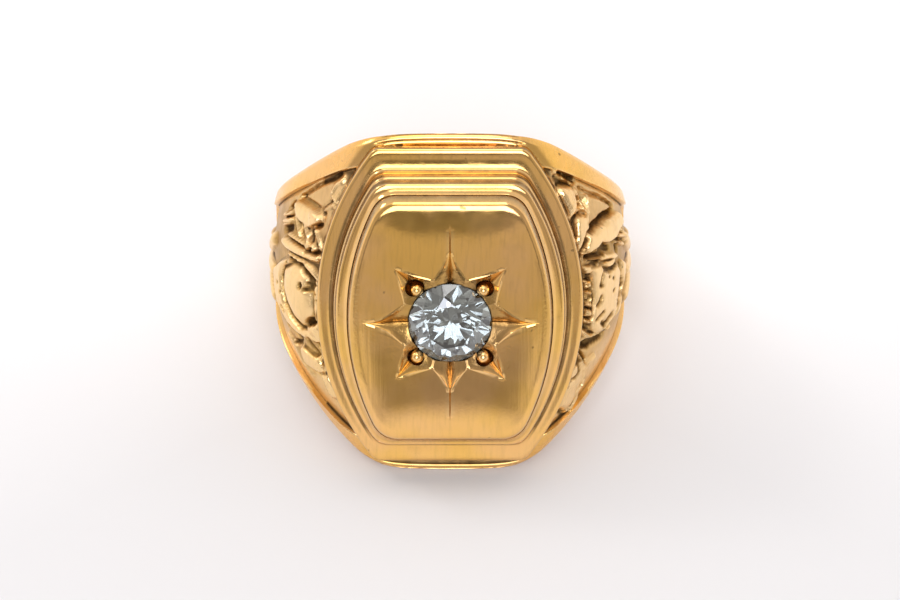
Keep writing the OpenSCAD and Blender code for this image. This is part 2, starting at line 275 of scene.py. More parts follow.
# %% The left shoulder's cuts
LEFT_CUTS = [
    # over the bar
    (0.30, 0.20, [(51.9, 5.70), (46.9, 5.76), (42.6, 5.72), (38.6, 5.54)]),
    # under the rim
    (0.26, 0.15, [(52.3, 5.76), (48.3, 6.28), (44.7, 6.82), (41.7, 7.20), (38.8, 7.52), (34.9, 8.06)]),
    # over the zigzag
    (0.20, 0.13, [(39.3, 5.82), (37.4, 6.16), (35.9, 6.42)]),
    # cell
    (0.30, 0.22, [(47.2, 4.32), (46.9, 3.84)]),
    (0.30, 0.17, [(42.3, 4.24), (42.4, 3.62)]),
    # left cell
    (0.26, 0.26, [(53.5, 4.44), (51.1, 3.84)]),
    # above the outer ribs
    (0.34, 0.25, [(56.0, 5.10), (58.1, 4.62)]),
    # under the outer ribs
    (0.34, 0.30, [(58.8, 3.28), (54.6, 3.70)]),
    # between the outer ribs
    (0.20, 0.11, [(59.6, 4.02), (55.0, 4.40)]),
    # over the ribbon
    (0.26, 0.13, [(56.8, 3.08), (50.8, 3.10), (44.6, 3.10)]),
    # dark end of the bar
    (0.30, 0.18, [(41.2, 4.64), (39.3, 4.84)]),
    # by the coil
    (0.24, 0.13, [(44.3, 2.94), (41.2, 2.98), (38.7, 3.14)]),
    # slot in the ribbon
    (0.22, 0.13, [(53.1, 1.96), (48.6, 1.96)]),
    (0.20, 0.13, [(47.4, 1.94), (45.0, 1.98)]),
    # beside the boss
    (0.30, 0.16, [(44.5, 1.74), (42.0, 1.50), (40.5, 1.20)]),
    # pit
    (0.30, 0.20, [(44.8, 0.82), (45.0, 0.68)]),
    (0.30, 0.20, [(42.0, 1.00), (41.6, 0.94)]),
    (0.26, 0.18, [(43.2, 0.60), (40.8, 0.68)]),
    # hole
    (0.34, 0.22, [(42.8, -1.70), (41.7, -1.38)]),
    (0.30, 0.18, [(40.8, -1.54), (40.2, -1.42)]),
    # slot in the strip
    (0.20, 0.10, [(38.7, -0.64), (38.8, -1.32)]),
    # dot in the strip
    (0.20, 0.12, [(39.4, 1.10), (39.4, 1.02)]),
    (0.16, 0.10, [(39.4, 0.48), (39.4, 0.42)]),
    (0.16, 0.10, [(39.0, 0.12), (39.0, 0.08)]),
    # dot in the border
    (0.22, 0.11, [(60.2, -0.12), (60.3, -0.22)]),
    (0.22, 0.11, [(58.2, -0.64), (58.3, -0.74)]),
    (0.18, 0.10, [(53.9, 1.64), (53.6, 1.64)]),
    # slot in the border
    (0.24, 0.12, [(57.7, -1.62), (55.7, -1.88)]),
    (0.20, 0.12, [(46.3, -2.20), (43.7, -2.20)]),
    # outside the border
    (0.30, 0.30, [(57.0, -2.88), (53.0, -2.90), (48.6, -3.16)]),
    (0.26, 0.20, [(52.4, -3.84), (48.6, -3.54)]),
    # over the lower leaf
    (0.28, 0.14, [(44.9, -3.00), (42.6, -3.34), (39.8, -3.66)]),
    (0.24, 0.12, [(46.1, -3.54), (43.0, -3.74), (40.2, -3.80)]),
    # beside the lower leaf
    (0.28, 0.20, [(39.2, -3.08), (38.1, -3.36), (37.0, -4.04)]),
    # under the fan
    (0.26, 0.13, [(39.4, -2.94), (36.8, -2.68)]),
    # under the lower leaf
    (0.24, 0.16, [(43.0, -5.04), (40.2, -5.12)]),
    # along the last leaf
    (0.26, 0.18, [(35.7, -4.80), (33.3, -5.66), (31.8, -6.20)]),
]
print(len(LEFT_CUTS), "cuts on the left shoulder")

# %% The right shoulder: lobe, pod, jagged leaf, shield and lower leaf
RIGHT_PLATES = [
    # lobe
    (0.36, 0.45, [(33.3, 7.46), (34.6, 7.46), (38.5, 7.22), (39.4, 6.90), (39.6, 6.36), (39.3, 5.92),
      (37.7, 5.64), (35.9, 5.40), (34.4, 6.20), (33.4, 6.70), (32.9, 7.12)]),
    # pod
    (0.34, 0.35, [(38.1, 5.52), (40.2, 5.46), (42.7, 5.26), (41.8, 4.34), (40.0, 3.82), (37.8, 3.20),
      (36.8, 3.78), (36.6, 4.38), (36.9, 5.14)]),
    # flat field
    (0.10, 0.10, [(45.2, 6.22), (50.1, 5.88), (57.1, 5.02), (58.9, 4.66), (53.3, 4.70), (49.0, 4.86),
      (47.2, 4.72), (43.8, 4.70), (42.6, 4.42), (42.1, 4.44)]),
    # jagged leaf
    (0.38, 0.16, [(62.9, 4.22), (65.1, 3.66), (64.7, 3.28), (59.1, 3.16), (56.5, 2.94), (51.8, 2.96),
      (47.6, 3.20), (45.2, 3.04), (41.6, 3.00), (39.9, 3.36), (41.0, 3.80), (41.8, 4.18), (44.7, 4.08),
      (46.7, 4.30), (50.6, 4.20), (52.7, 4.42), (57.0, 4.28), (59.9, 4.24)]),
    # shield
    (0.36, 0.22, [(42.1, 1.96), (46.6, 1.78), (50.1, 1.86), (55.4, 1.72), (58.8, 1.04), (55.4, -2.20),
      (51.3, -2.42), (49.6, -2.68), (44.2, -2.54), (42.2, -2.08), (42.8, -0.90), (43.2, -0.06),
      (42.6, 1.22)]),
    # over the shield
    (0.28, 0.16, [(49.9, 2.28), (55.6, 2.12), (59.6, 1.56), (55.8, 1.64), (50.4, 1.96), (45.5, 2.18),
      (42.0, 2.58)]),
    # outer edge
    (0.30, 0.25, [(61.3, 1.26), (66.1, 0.72), (60.3, -2.18), (56.7, -2.50), (57.3, -1.46),
      (61.8, -1.12), (60.5, 0.74)]),
    # lower leaf
    (0.20, 0.35, [(37.3, -3.82), (39.5, -3.96), (41.4, -4.76), (42.4, -5.50), (42.1, -6.06),
      (40.4, -6.32), (40.9, -6.92), (39.6, -7.48), (36.6, -7.52), (33.9, -7.08), (33.7, -6.24),
      (34.1, -5.72), (35.0, -5.32), (35.0, -4.78)]),
]
print(len(RIGHT_PLATES), "plates on the right shoulder")

# %% The right shoulder's ridges
RIGHT_RIDGES = [
    # thin ridge under the rim
    (0.26, 0.13, [(32.0, 8.48), (35.4, 7.94), (37.6, 7.52), (40.0, 7.22)]),
    # twig
    (0.30, 0.13, [(39.6, 6.90), (40.4, 6.44), (40.8, 5.92), (41.7, 5.68), (43.2, 5.38)]),
    (0.30, 0.14, [(43.0, 6.68), (44.6, 6.38), (44.0, 5.88), (43.2, 5.38), (42.1, 4.84), (41.7, 4.36)]),
    # twig foot
    (0.26, 0.13, [(40.7, 5.80), (38.9, 5.80), (37.9, 5.62)]),
    # outer rib
    (0.28, 0.16, [(59.6, 2.84), (65.2, 2.50)]),
    (0.28, 0.16, [(56.7, 2.76), (63.4, 2.06)]),
    # outer edge
    (0.26, 0.16, [(64.0, 3.08), (66.4, 2.12)]),
    # fillet
    (0.20, 0.12, [(38.8, 3.10), (41.6, 2.98), (45.8, 3.00)]),
    # line
    (0.22, 0.12, [(41.5, 2.56), (46.8, 2.42), (49.9, 2.30)]),
    (0.20, 0.12, [(39.5, 2.18), (42.4, 2.06), (46.0, 1.94)]),
    # lower border
    (0.30, 0.16, [(38.9, -1.98), (41.3, -2.50), (44.3, -2.68), (49.8, -2.84), (52.8, -2.70)]),
    # lower line
    (0.20, 0.12, [(39.2, -2.56), (42.5, -2.58)]),
    # leaf edge
    (0.30, 0.14, [(37.4, -3.32), (39.5, -3.96), (41.4, -4.62), (42.4, -5.50), (42.6, -6.10),
      (40.6, -6.34), (41.4, -6.96), (39.8, -7.60), (36.7, -7.58)]),
    (0.28, 0.13, [(41.3, -4.70), (42.9, -4.52), (44.8, -4.48), (46.6, -4.34)]),
    # scroll
    (0.30, 0.13, [(40.5, 2.00), (42.0, 1.86), (41.7, 1.74), (40.5, 1.78)]),
    (0.30, 0.13, [(40.0, 1.24), (41.6, 1.08), (41.8, 0.90), (40.4, 0.84)]),
    (0.30, 0.13, [(40.2, 0.60), (41.8, 0.44), (42.1, 0.26)]),
    (0.30, 0.13, [(40.7, 0.10), (42.1, 0.06), (42.0, -0.12)]),
    (0.30, 0.13, [(40.2, -0.24), (42.1, -0.42), (41.9, -0.58)]),
    (0.30, 0.13, [(40.3, -0.64), (42.1, -0.94), (41.8, -1.08), (40.3, -1.00)]),
    (0.30, 0.13, [(40.1, -1.32), (41.8, -1.56), (42.1, -1.76)]),
]
print(len(RIGHT_RIDGES), "ridges on the right shoulder")

# %% The right shoulder's cuts
RIGHT_CUTS = [
    # between the flat field and the jagged leaf
    (0.34, 0.12, [(41.6, 4.34), (44.4, 4.26), (46.6, 4.48), (50.4, 4.38), (52.6, 4.60), (56.8, 4.46),
      (60.2, 4.42)]),
    # gap under the rim
    (0.34, 0.20, [(34.2, 8.20), (36.3, 7.94), (38.6, 7.62), (40.3, 7.38)]),
    # gap over the lobe
    (0.30, 0.15, [(33.2, 7.52), (35.5, 7.48), (38.1, 7.34)]),
    # ground
    (0.16, 0.25, [(32.7, 7.98), (35.0, 7.68)]),
    # between lobe and twig
    (0.34, 0.14, [(39.9, 6.50), (40.1, 6.18), (40.2, 5.96)]),
    # between the twigs
    (0.20, 0.14, [(41.9, 6.38), (42.5, 5.96)]),
    # under the rim
    (0.28, 0.16, [(42.5, 6.86), (45.8, 6.40), (49.0, 6.08), (51.7, 5.82), (55.4, 5.38), (60.9, 4.66)]),
    # over the pod
    (0.34, 0.15, [(40.0, 5.48), (38.4, 5.52), (37.3, 5.28), (36.7, 4.76), (36.5, 4.18)]),
    # jagged gap
    (0.40, 0.27, [(58.5, 4.50), (55.3, 4.52), (52.2, 4.62), (50.0, 4.60), (48.6, 4.46), (46.2, 4.46),
      (45.0, 4.30), (43.7, 4.26)]),
    # under the jagged leaf
    (0.36, 0.17, [(47.7, 3.16), (45.8, 2.92), (43.3, 2.88), (41.0, 2.68)]),
    (0.30, 0.13, [(47.8, 3.00), (50.8, 2.86)]),
    (0.26, 0.22, [(48.0, 2.74), (52.8, 2.52)]),
    # beside the jagged leaf
    (0.32, 0.16, [(58.7, 2.94), (63.3, 3.06)]),
    (0.30, 0.16, [(56.8, 2.84), (61.7, 2.48)]),
    (0.26, 0.24, [(58.4, 2.36), (59.2, 1.92)]),
    # by the pod
    (0.34, 0.16, [(41.3, 3.82), (40.0, 3.58), (39.1, 3.28)]),
    # dark line
    (0.34, 0.17, [(41.0, 2.76), (44.4, 2.60), (48.5, 2.42)]),
    # stroke
    (0.22, 0.11, [(41.9, 2.42), (44.5, 2.28), (46.7, 2.16)]),
    (0.24, 0.11, [(39.7, 2.28), (42.2, 2.18), (45.1, 2.02)]),
    # recess of the shield
    (0.34, 0.22, [(48.2, 1.56), (50.7, 1.30), (53.1, 1.32), (55.7, 1.42)]),
    # line of the shield
    (0.26, 0.11, [(47.2, 1.36), (46.5, 1.04), (45.9, 0.70)]),
    # pit
    (0.24, 0.16, [(45.9, 0.66), (46.7, 0.58)]),
    # edge of the shield
    (0.28, 0.12, [(56.7, 1.20), (59.6, 0.52), (61.4, -0.10), (62.0, -0.60), (58.4, -1.56), (55.1, -2.04)]),
    # cut
    (0.30, 0.20, [(46.2, -0.16), (46.0, -0.36), (44.7, -0.56)]),
    (0.26, 0.12, [(47.7, -1.24), (46.2, -1.38), (44.1, -1.54)]),
    (0.30, 0.19, [(52.4, -1.78), (50.7, -1.90), (48.8, -2.08)]),
    (0.26, 0.16, [(46.7, -1.90), (48.4, -2.26)]),
    # dot
    (0.16, 0.11, [(50.4, 0.92), (50.6, 0.88)]),
    (0.16, 0.13, [(52.8, 0.66), (53.0, 0.62)]),
    (0.14, 0.12, [(53.5, -0.12), (52.9, -0.24)]),
    # beside the head
    (0.34, 0.13, [(38.5, 3.12), (38.4, 2.52), (38.8, 1.72), (39.1, 0.80), (39.4, -0.06), (39.3, -0.56),
      (39.1, -1.32), (38.9, -1.70)]),
    # dark recess
    (0.40, 0.42, [(41.0, -2.96), (43.9, -3.06), (46.5, -3.10), (49.6, -3.10)]),
    (0.34, 0.26, [(40.0, -3.10), (43.0, -3.34)]),
    # between the scrolls
    (0.26, 0.13, [(39.7, 1.70), (41.7, 1.60)]),
    (0.26, 0.13, [(39.4, 1.42), (41.7, 1.24)]),
    (0.26, 0.12, [(39.6, 0.74), (41.8, 0.62)]),
    (0.26, 0.13, [(40.7, 0.00), (42.0, 0.16)]),
    (0.26, 0.12, [(40.2, -0.50), (41.9, -0.62)]),
    (0.26, 0.12, [(39.8, -1.12), (42.0, -1.30)]),
    # under the scrolls
    (0.30, 0.15, [(39.4, -1.74), (41.1, -1.82), (42.1, -1.76)]),
    # slot
    (0.36, 0.17, [(38.4, -3.24), (40.1, -3.68), (41.8, -4.28)]),
    # recess of the leaf
    (0.30, 0.22, [(37.0, -3.70), (38.7, -4.02)]),
    # curve in the leaf
    (0.20, 0.12, [(35.4, -5.22), (37.9, -5.14), (39.5, -4.86), (38.7, -4.30), (37.0, -4.16)]),
    # notch
    (0.34, 0.20, [(33.9, -5.46), (35.1, -5.54)]),
    # shadow of the rim
    (0.30, 0.15, [(44.4, -4.70), (43.0, -4.86), (43.1, -5.34)]),
    # under the leaf
    (0.26, 0.15, [(31.8, -7.58), (33.6, -7.40), (36.8, -7.62)]),
]

LEFT_CARVING = (LEFT_PLATES, LEFT_RIDGES + SHANK_LEAVES, LEFT_CUTS)
RIGHT_CARVING = (RIGHT_PLATES, RIGHT_RIDGES + SHANK_LEAVES, RIGHT_CUTS)
print(len(RIGHT_CUTS), "cuts on the right shoulder")

# %% [markdown]
# ## The surface of the ring
# Seen along the finger the shank is round and the shoulders bulge to a larger arc whose
# centre lies forward. Between the rims the ground is sunk and the carving rises from it.
# The flanges and the ground of the head cut everything off flat at one height. All of this
# is one function of angle and place, so the whole skin can be set from it.

# %% Height of the carving at any angle and place
FULLNESS = 0.7


def line_gap(run, z, line):
    """Distance in millimetres from each place to a broken line."""
    gap = np.full(run.shape, 99.0)
    for (a0, z0), (a1, z1) in zip(line, line[1:]):
        across, along = (a1 - a0) * MM_PER_DEG, z1 - z0
        from_a, from_z = run - a0 * MM_PER_DEG, z - z0
        length2 = max(1e-9, across * across + along * along)
        t = np.clip((from_a * across + from_z * along) / length2, 0, 1)
        gap = np.minimum(gap, np.hypot(from_a - t * across, from_z - t * along))
    return gap


def is_inside(run, z, outline):
    """Whether each place lies inside a closed outline."""
    inside = np.zeros(run.shape, dtype=bool)
    for (a0, z0), (a1, z1) in zip(outline, outline[1:] + outline[:1]):
        if z0 != z1:
            crossing = MM_PER_DEG * (a0 + (z - z0) * (a1 - a0) / (z1 - z0))
            inside ^= ((z0 > z) != (z1 > z)) & (run < crossing)
    return inside


def near_places(run, z, line, reach):
    """The places that a line can touch, so that the rest can be left out."""
    runs = [a * MM_PER_DEG for a, _ in line]
    places = [place for _, place in line]
    return ((run > min(runs) - reach) & (run < max(runs) + reach)
            & (z > min(places) - reach) & (z < max(places) + reach))


def carved_rise(angle, z, carving):
    """Height of the carving over its ground. Where a ridge crosses a plate, half of it adds."""
    plates, ridges, cuts = carving
    run = angle * MM_PER_DEG + 0 * z
    raised = np.zeros_like(z)
    for rise, edge, outline in plates:
        near = near_places(run, z, outline, 0)
        gap = line_gap(run[near], z[near], outline + outline[:1])
        part = np.clip(gap * is_inside(run[near], z[near], outline) / edge, 0, 1)
        raised[near] = np.maximum(raised[near], rise * (1 - (1 - part) ** 2) ** FULLNESS)
    for rise, half, line in ridges:
        near = near_places(run, z, line, half)
        part = np.clip(line_gap(run[near], z[near], line) / half, 0, 1)
        ridge = rise * (1 - part ** 2.5) ** FULLNESS
        raised[near] = np.maximum(raised[near], ridge) + 0.5 * np.minimum(raised[near], ridge)
    for depth, half, line in cuts:
        near = near_places(run, z, line, half)
        part = np.clip(line_gap(run[near], z[near], line) / half, 0, 1)
        raised[near] -= depth * (1 - part ** 2)
    return raised


def carving_height(angle, z, on_left, with_cuts=True):
    """Height of the carving that is on each place's own shoulder."""
    left, right = (carved_rise(angle, z, (plates, ridges, cuts if with_cuts else []))
                   for plates, ridges, cuts in (LEFT_CARVING, RIGHT_CARVING))
    return np.where(on_left, left, right)


# %% Radius of the skin at any angle and place
MOULDINGS = (0.02, 0.37, 0.68, 0.99)
MOULDING_DEPTH = 0.085
LAST_FILLET = 0.10
RIM_TUCK = 0.33
LOWER_SHRINK = 0.055
UPPER_SHRINK = 0.017
WALL_RUN = 0.14
CARVING_GAIN = 1.12


def grown(value, start, end):
    """0 up to start, 1 from end on and a straight ramp between. end may be the lower one."""
    return np.clip((value - start) / (end - start), 0, 1)


def soft_min(first, second, blend):
    """The lower of two heights, with a rounded corner where they cross."""
    low, high = np.minimum(first, second), np.maximum(first, second)
    return low - blend * np.log1p(np.exp((low - high) / blend))


def rim_height(angle):
    """Height of the rim, which runs out of the flat flange in a soft corner."""
    return soft_min(FLANGE_H, RIM_R * np.cos(np.radians(angle)), CORNER_SOFT)


def crown_radius(angle):
    """The shoulders' crown is an arc whose centre lies a little towards the face."""
    b = CROWN_SHIFT * np.cos(np.radians(angle))
    return np.maximum(RIM_R, b + np.sqrt(b * b - CROWN_SHIFT ** 2 + CROWN_R ** 2))


def panel_half_width(angle):
    """The carved panel ends towards the shank in a round arch."""
    bow = grown(angle, PANEL_BOW, PANEL_TO)
    rim_w = RIM_W - RIM_NARROWS * grown(angle, *SHOULDER)
    return (half_width(rim_height(angle)) - rim_w) * np.sqrt(1 - bow * bow)


def flange_grooves(angle, z, w):
    """Each flange is turned into three rounded mouldings, which fade out along the rims."""
    from_edge = w - np.abs(z)
    fade = grown(angle, 25, 21.5)
    fade = fade * fade * (3 - 2 * fade)
    drop = np.zeros_like(from_edge)
    for outer, inner in zip(MOULDINGS, MOULDINGS[1:]):
        off = np.abs(2 * (from_edge - outer) / (inner - outer) - 1)
        inside = (from_edge >= outer) & (from_edge < inner)
        drop = np.where(inside, MOULDING_DEPTH * np.minimum(1, off) ** 2.4, drop)
    rest = np.clip((from_edge - MOULDINGS[-1]) / LAST_FILLET, 0, 1)
    drop = np.where(from_edge >= MOULDINGS[-1], MOULDING_DEPTH * (1 - rest) ** 2, drop)
    return -fade * drop


def rim_radius(angle):
    """The rims tuck in a little where the shoulders turn into the shank."""
    tuck = grown(angle, 62, 86)
    return RIM_R - RIM_TUCK * tuck ** 2 * (3 - 2 * tuck) * (1 - grown(angle, 100, 150))


def hand_shrink(angle, z):
    """A cast ring isn't quite even: its lower rims are drawn in more than its upper ones."""
    lower = LOWER_SHRINK * grown(angle, *SHOULDER) * grown(angle, 110, 70)
    return np.where(z < 0, lower, UPPER_SHRINK * grown(angle, 34, 22))


def softened(table):
    """Each value averaged with its neighbours, so that steep walls don't break into steps."""
    across = table.copy()
    across[:, 1:-1] = (table[:, :-2] + 4 * table[:, 1:-1] + table[:, 2:]) / 6
    return (np.roll(across, 1, axis=0) + 4 * across + np.roll(across, -1, axis=0)) / 6


def skin_radius(angle, z, side):
    """Radius of the ring's outside. side is -1 on the left and 1 on the right."""
    w = half_width(rim_height(angle))
    s = np.minimum(1, np.abs(z) / w)
    edge = np.clip(1 - (w - np.abs(z)) / EDGE_W, 0, 1)
    rim = rim_radius(angle)
    plain = rim + (crown_radius(angle) - rim) * (1 - s ** 2.5)
    plain = plain - EDGE_DROP * edge ** 2 - SHANK_CROWN * grown(angle, 90, 150) * s ** 3
    inside = np.clip((panel_half_width(angle) - np.abs(z)) / WALL_RUN, 0, 1)
    carved = softened(CARVING_GAIN * carving_height(angle, z, side < 0)) - PANEL_SINK
    flat = (FLANGE_H - EDGE_DROP * edge ** 2) / np.maximum(0.01, np.cos(np.radians(angle)))
    blend = 0.07 + 0.16 * (1 - inside)
    return soft_min(plain + inside * carved, flat, blend) + flange_grooves(angle, z, w)


print("crown of the shoulders", round(float(crown_radius(np.array(45.0))), 2), "mm at 45 degrees")

# %% [markdown]
# ## The band
# A finger ring is a closed section swept round the finger. So the band starts as a circle
# that stands beside the hole's axis and is spun once round it, and each row's section is
# then set to the real one. Rows and columns stand close where the carving is.

# %% Rows and columns of the band
ROW_RUNS = [(0, 14, 4), (14, 20, 5), (20, 26, 14), (26, 30, 5), (30, 67, 84), (67, PANEL_TO + 1, 22)]
SHANK_ROWS = 18
CARVED_COLUMNS = 68
ON_MOULDING = (0, 0.1, 0.26, 0.5, 0.74, 0.9)
INSIDE_MOULDINGS = 7
LEAST_PANEL = 0.4
MOULDED_W = 1.05
BORE_ROUND = 0.3


def one_side_of_angles():
    """Angles from the middle of the face to the back of the shank."""
    runs = [np.linspace(start, end, count, endpoint=False) for start, end, count in ROW_RUNS]
    return np.concatenate(runs + [np.linspace(PANEL_TO + 1, 180, SHANK_ROWS)])


side_angles = one_side_of_angles()
row_angles = np.concatenate([side_angles, -side_angles[-2:0:-1]])


def section_rows(signed_angles):
    """Half of each row's section, from the outside's middle round to the bore's middle."""
    angle = np.abs(signed_angles)[:, None]
    side = np.sign(signed_angles)[:, None]
    w = half_width(rim_height(angle))
    b = np.maximum(LEAST_PANEL * (w - RIM_W), panel_half_width(angle))
    start = b - WALL_RUN
    panel = start * np.linspace(0, 1, CARVED_COLUMNS, endpoint=False)
    moulded = [outer + part * (inner - outer)
               for outer, inner in zip(MOULDINGS, MOULDINGS[1:]) for part in ON_MOULDING]
    moulded = np.array([0.0] + moulded + [MOULDINGS[-1]])[::-1]
    squeeze = np.minimum(1, (w - b) / MOULDED_W)
    end = w - moulded[0] * squeeze
    rim = start + (end - start) * np.linspace(0, 1, INSIDE_MOULDINGS, endpoint=False)
    z = np.concatenate([panel, rim, w - moulded * squeeze], axis=1)
    upper = skin_radius(angle, z, side)
    lower = skin_radius(angle, -z, side)
    return z, upper, lower, w


def inner_line(signed_angles, outer_edge_r, w):
    """The flat side and the bore, with the bore's edge rounded for comfort."""
    angle = np.abs(signed_angles)[:, None]
    w_root = half_width(np.minimum(FLANGE_H, ROOT_R * np.cos(np.radians(angle))))
    slope = (w - w_root) / (outer_edge_r - ROOT_R)
    turn = np.radians(np.array([0, 22.5, 45, 67.5, 90]))
    side_r = outer_edge_r + (BORE_R + BORE_ROUND - outer_edge_r) * np.array([0.35, 0.7])
    round_rs = BORE_R + BORE_ROUND * (1 - np.sin(turn)) + 0 * angle
    edge_z = w_root + slope * (BORE_R + BORE_ROUND - ROOT_R)
    r = np.concatenate([side_r, round_rs], axis=1)
    z_flat = w_root + slope * (side_r - ROOT_R)
    z_round = edge_z - BORE_ROUND * (1 - np.cos(turn))
    bore_z = (edge_z - BORE_ROUND) * np.array([0.8, 0.6, 0.4, 0.2, 0])
    r = np.concatenate([r, BORE_R + 0 * bore_z], axis=1)
    return np.concatenate([z_flat, z_round, bore_z], axis=1), r


print(len(row_angles), "rows round the finger")

# %% Spin the band and set its sections
BLANK_AT = 10


def band_sections():
    """z and radius of every point of every row, as two tables of rows by columns."""
    z, upper, lower, w = section_rows(row_angles)
    inner_z, inner_r = inner_line(row_angles, upper[:, -1:], w)
    top_z = np.concatenate([z, inner_z], axis=1)
    top_r = np.concatenate([upper, inner_r], axis=1)
    low_z = -np.concatenate([z, inner_z], axis=1)[:, -2:0:-1]
    low_r = np.concatenate([lower, inner_r], axis=1)[:, -2:0:-1]
    return np.concatenate([top_z, low_z], axis=1), np.concatenate([top_r, low_r], axis=1)


def make_band():
    """Spin a plain ring, then set each point to its row's section."""
    z, r = band_sections()
    rows, columns = z.shape
    bpy.ops.object.select_all(action="DESELECT")
    bpy.ops.mesh.primitive_circle_add(
        vertices=columns, radius=2, location=(BLANK_AT, 0, 0), rotation=(math.pi / 2, 0, 0))
    band = take_new("gold_casting")
    apply_place(band)
    edit_all(band)
    bpy.ops.mesh.spin(steps=rows, angle=2 * math.pi, center=(0, 0, 0), axis=(0, 0, 1))
    bpy.ops.mesh.select_all(action="SELECT")
    bpy.ops.mesh.remove_doubles(threshold=1e-4)
    bpy.ops.object.mode_set(mode="OBJECT")
    at = coordinates(band)
    row = np.round(np.arctan2(at[:, 1], at[:, 0]) / (2 * np.pi) * rows).astype(int) % rows
    out = np.hypot(at[:, 0], at[:, 1]) - BLANK_AT
    column = np.round(
        (np.arctan2(at[:, 2], out) / (2 * np.pi) + 0.75) * columns).astype(int) % columns
    turn = np.radians(row_angles)[row]
    radius = r[row, column]
    flat_z = z[row, column]
    drifted = flat_z * (1 - hand_shrink(np.degrees(np.abs(turn)), flat_z))
    places = np.stack([radius * np.sin(turn), -radius * np.cos(turn), drifted], axis=1)
    set_coordinates(band, places)
    true_normals(band)
    return band


casting = make_band()
print("band:", len(casting.data.vertices), "points, box", [round(d, 2) for d in casting.dimensions])

# %% [markdown]
# ## The outline of the head
# From above every step of the head has the same barrel shape: bowed sides, straight ends
# and rounded corners. Each level is a row of a short table, and a smooth curve through the
# rows gives the profile its fillets and its hollow treads.

# %% Levels of the head
# half width, half length, half length of the straight end, corner, depth under the face's edge
HEAD_LEVELS = [
    (8.13, 10.20, 4.60, 0.45, 4.00),
    (8.13, 10.20, 4.60, 0.45, 2.86),
    (8.115, 10.18, 4.60, 0.45, 2.72),
    (8.05, 10.10, 4.59, 0.46, 2.646),
    (7.95, 10.00, 4.57, 0.48, 2.602),
    (7.82, 9.85, 4.55, 0.51, 2.584),
    (7.66, 9.63, 4.53, 0.54, 2.570),
    (7.53, 9.45, 4.51, 0.57, 2.557),
    (7.43, 9.30, 4.49, 0.60, 2.539),
    (7.32, 9.12, 4.47, 0.63, 2.511),
    (7.27, 9.04, 4.46, 0.65, 2.49),
    (7.22, 8.96, 4.45, 0.67, 2.42),
    (7.17, 8.88, 4.44, 0.69, 2.28),
    (7.14, 8.82, 4.43, 0.71, 2.08),
    (7.12, 8.79, 4.43, 0.72, 2.09),
    (7.10, 8.76, 4.42, 0.74, 2.00),
    (7.07, 8.70, 4.41, 0.78, 1.74),
    (7.03, 8.63, 4.40, 0.79, 1.69),
    (6.99, 8.58, 4.40, 0.80, 1.58),
    (6.96, 8.52, 4.39, 0.82, 1.34),
    (6.92, 8.46, 4.38, 0.85, 1.18),
    (6.85, 8.38, 4.36, 0.88, 1.12),
    (6.70, 8.27, 4.32, 0.94, 1.09),
    (6.50, 8.13, 4.27, 1.00, 0.99),
    (6.34, 8.02, 4.23, 1.05, 0.83),
    (6.27, 7.97, 4.21, 1.07, 0.76),
    (6.235, 7.93, 4.20, 1.09, 0.79),
    (6.21, 7.90, 4.19, 1.10, 0.68),
    (6.18, 7.85, 4.19, 1.12, 0.52),
    (6.15, 7.76, 4.18, 1.15, 0.34),
    (6.10, 7.65, 4.16, 1.18, 0.18),
    (6.04, 7.56, 4.14, 1.20, 0.10),
    (5.96, 7.46, 4.11, 1.24, 0.04),
    (5.86, 7.33, 4.06, 1.28, -0.004),
    (5.66, 7.10, 3.95, 1.30, -0.039),
    (5.42, 6.82, 3.80, 1.30, -0.073),
]


def barrel(hw, hl, he, corner):
    """One level's outline as a fine line of points, anticlockwise from the right."""
    bow_r = ((hw - he) ** 2 + hl ** 2) / (2 * (hw - he))
    reach = math.asin(hl / bow_r) - math.asin(corner / bow_r)
    t = np.linspace(0, reach, 60)
    side = np.stack([hw - bow_r + bow_r * np.cos(t), bow_r * np.sin(t)], axis=1)
    start, tip, end = side[-1], np.array([he, hl]), np.array([he - corner, hl])
    u = np.linspace(0, 1, 24)[1:, None]
    bend = start * (1 - u) ** 2 + 2 * tip * u * (1 - u) + end * u ** 2
    top = np.stack([np.linspace(he - corner, 0, 30)[1:], np.full(29, hl)], axis=1)
    return np.concatenate([side, bend, top])


def outline_radius(level, turn):
    """Distance from the head's middle to a level's outline, in the directions turn."""
    quarter = barrel(*level[:4])
    q_turn = np.arctan2(quarter[:, 1], quarter[:, 0])
    q_r = np.hypot(quarter[:, 0], quarter[:, 1])
    folded = np.arctan2(np.abs(np.sin(turn)), np.abs(np.cos(turn)))
    return np.interp(folded, q_turn, q_r)


print(len(HEAD_LEVELS), "levels from the head's wall to the face")

# %% [markdown]
# ## The star
# Eight rays are cut with a graver. Each is a groove with a V section and hollow-curved
# sides that runs out to a fine line. A deeper cut follows its middle, and a thin burr stands
# along its edges. To keep the edges crisp without cutting the polished face apart, the
# columns of the face follow the rays: one down each groove's middle, one along each of its
# edges, and the rest spread between the rays.

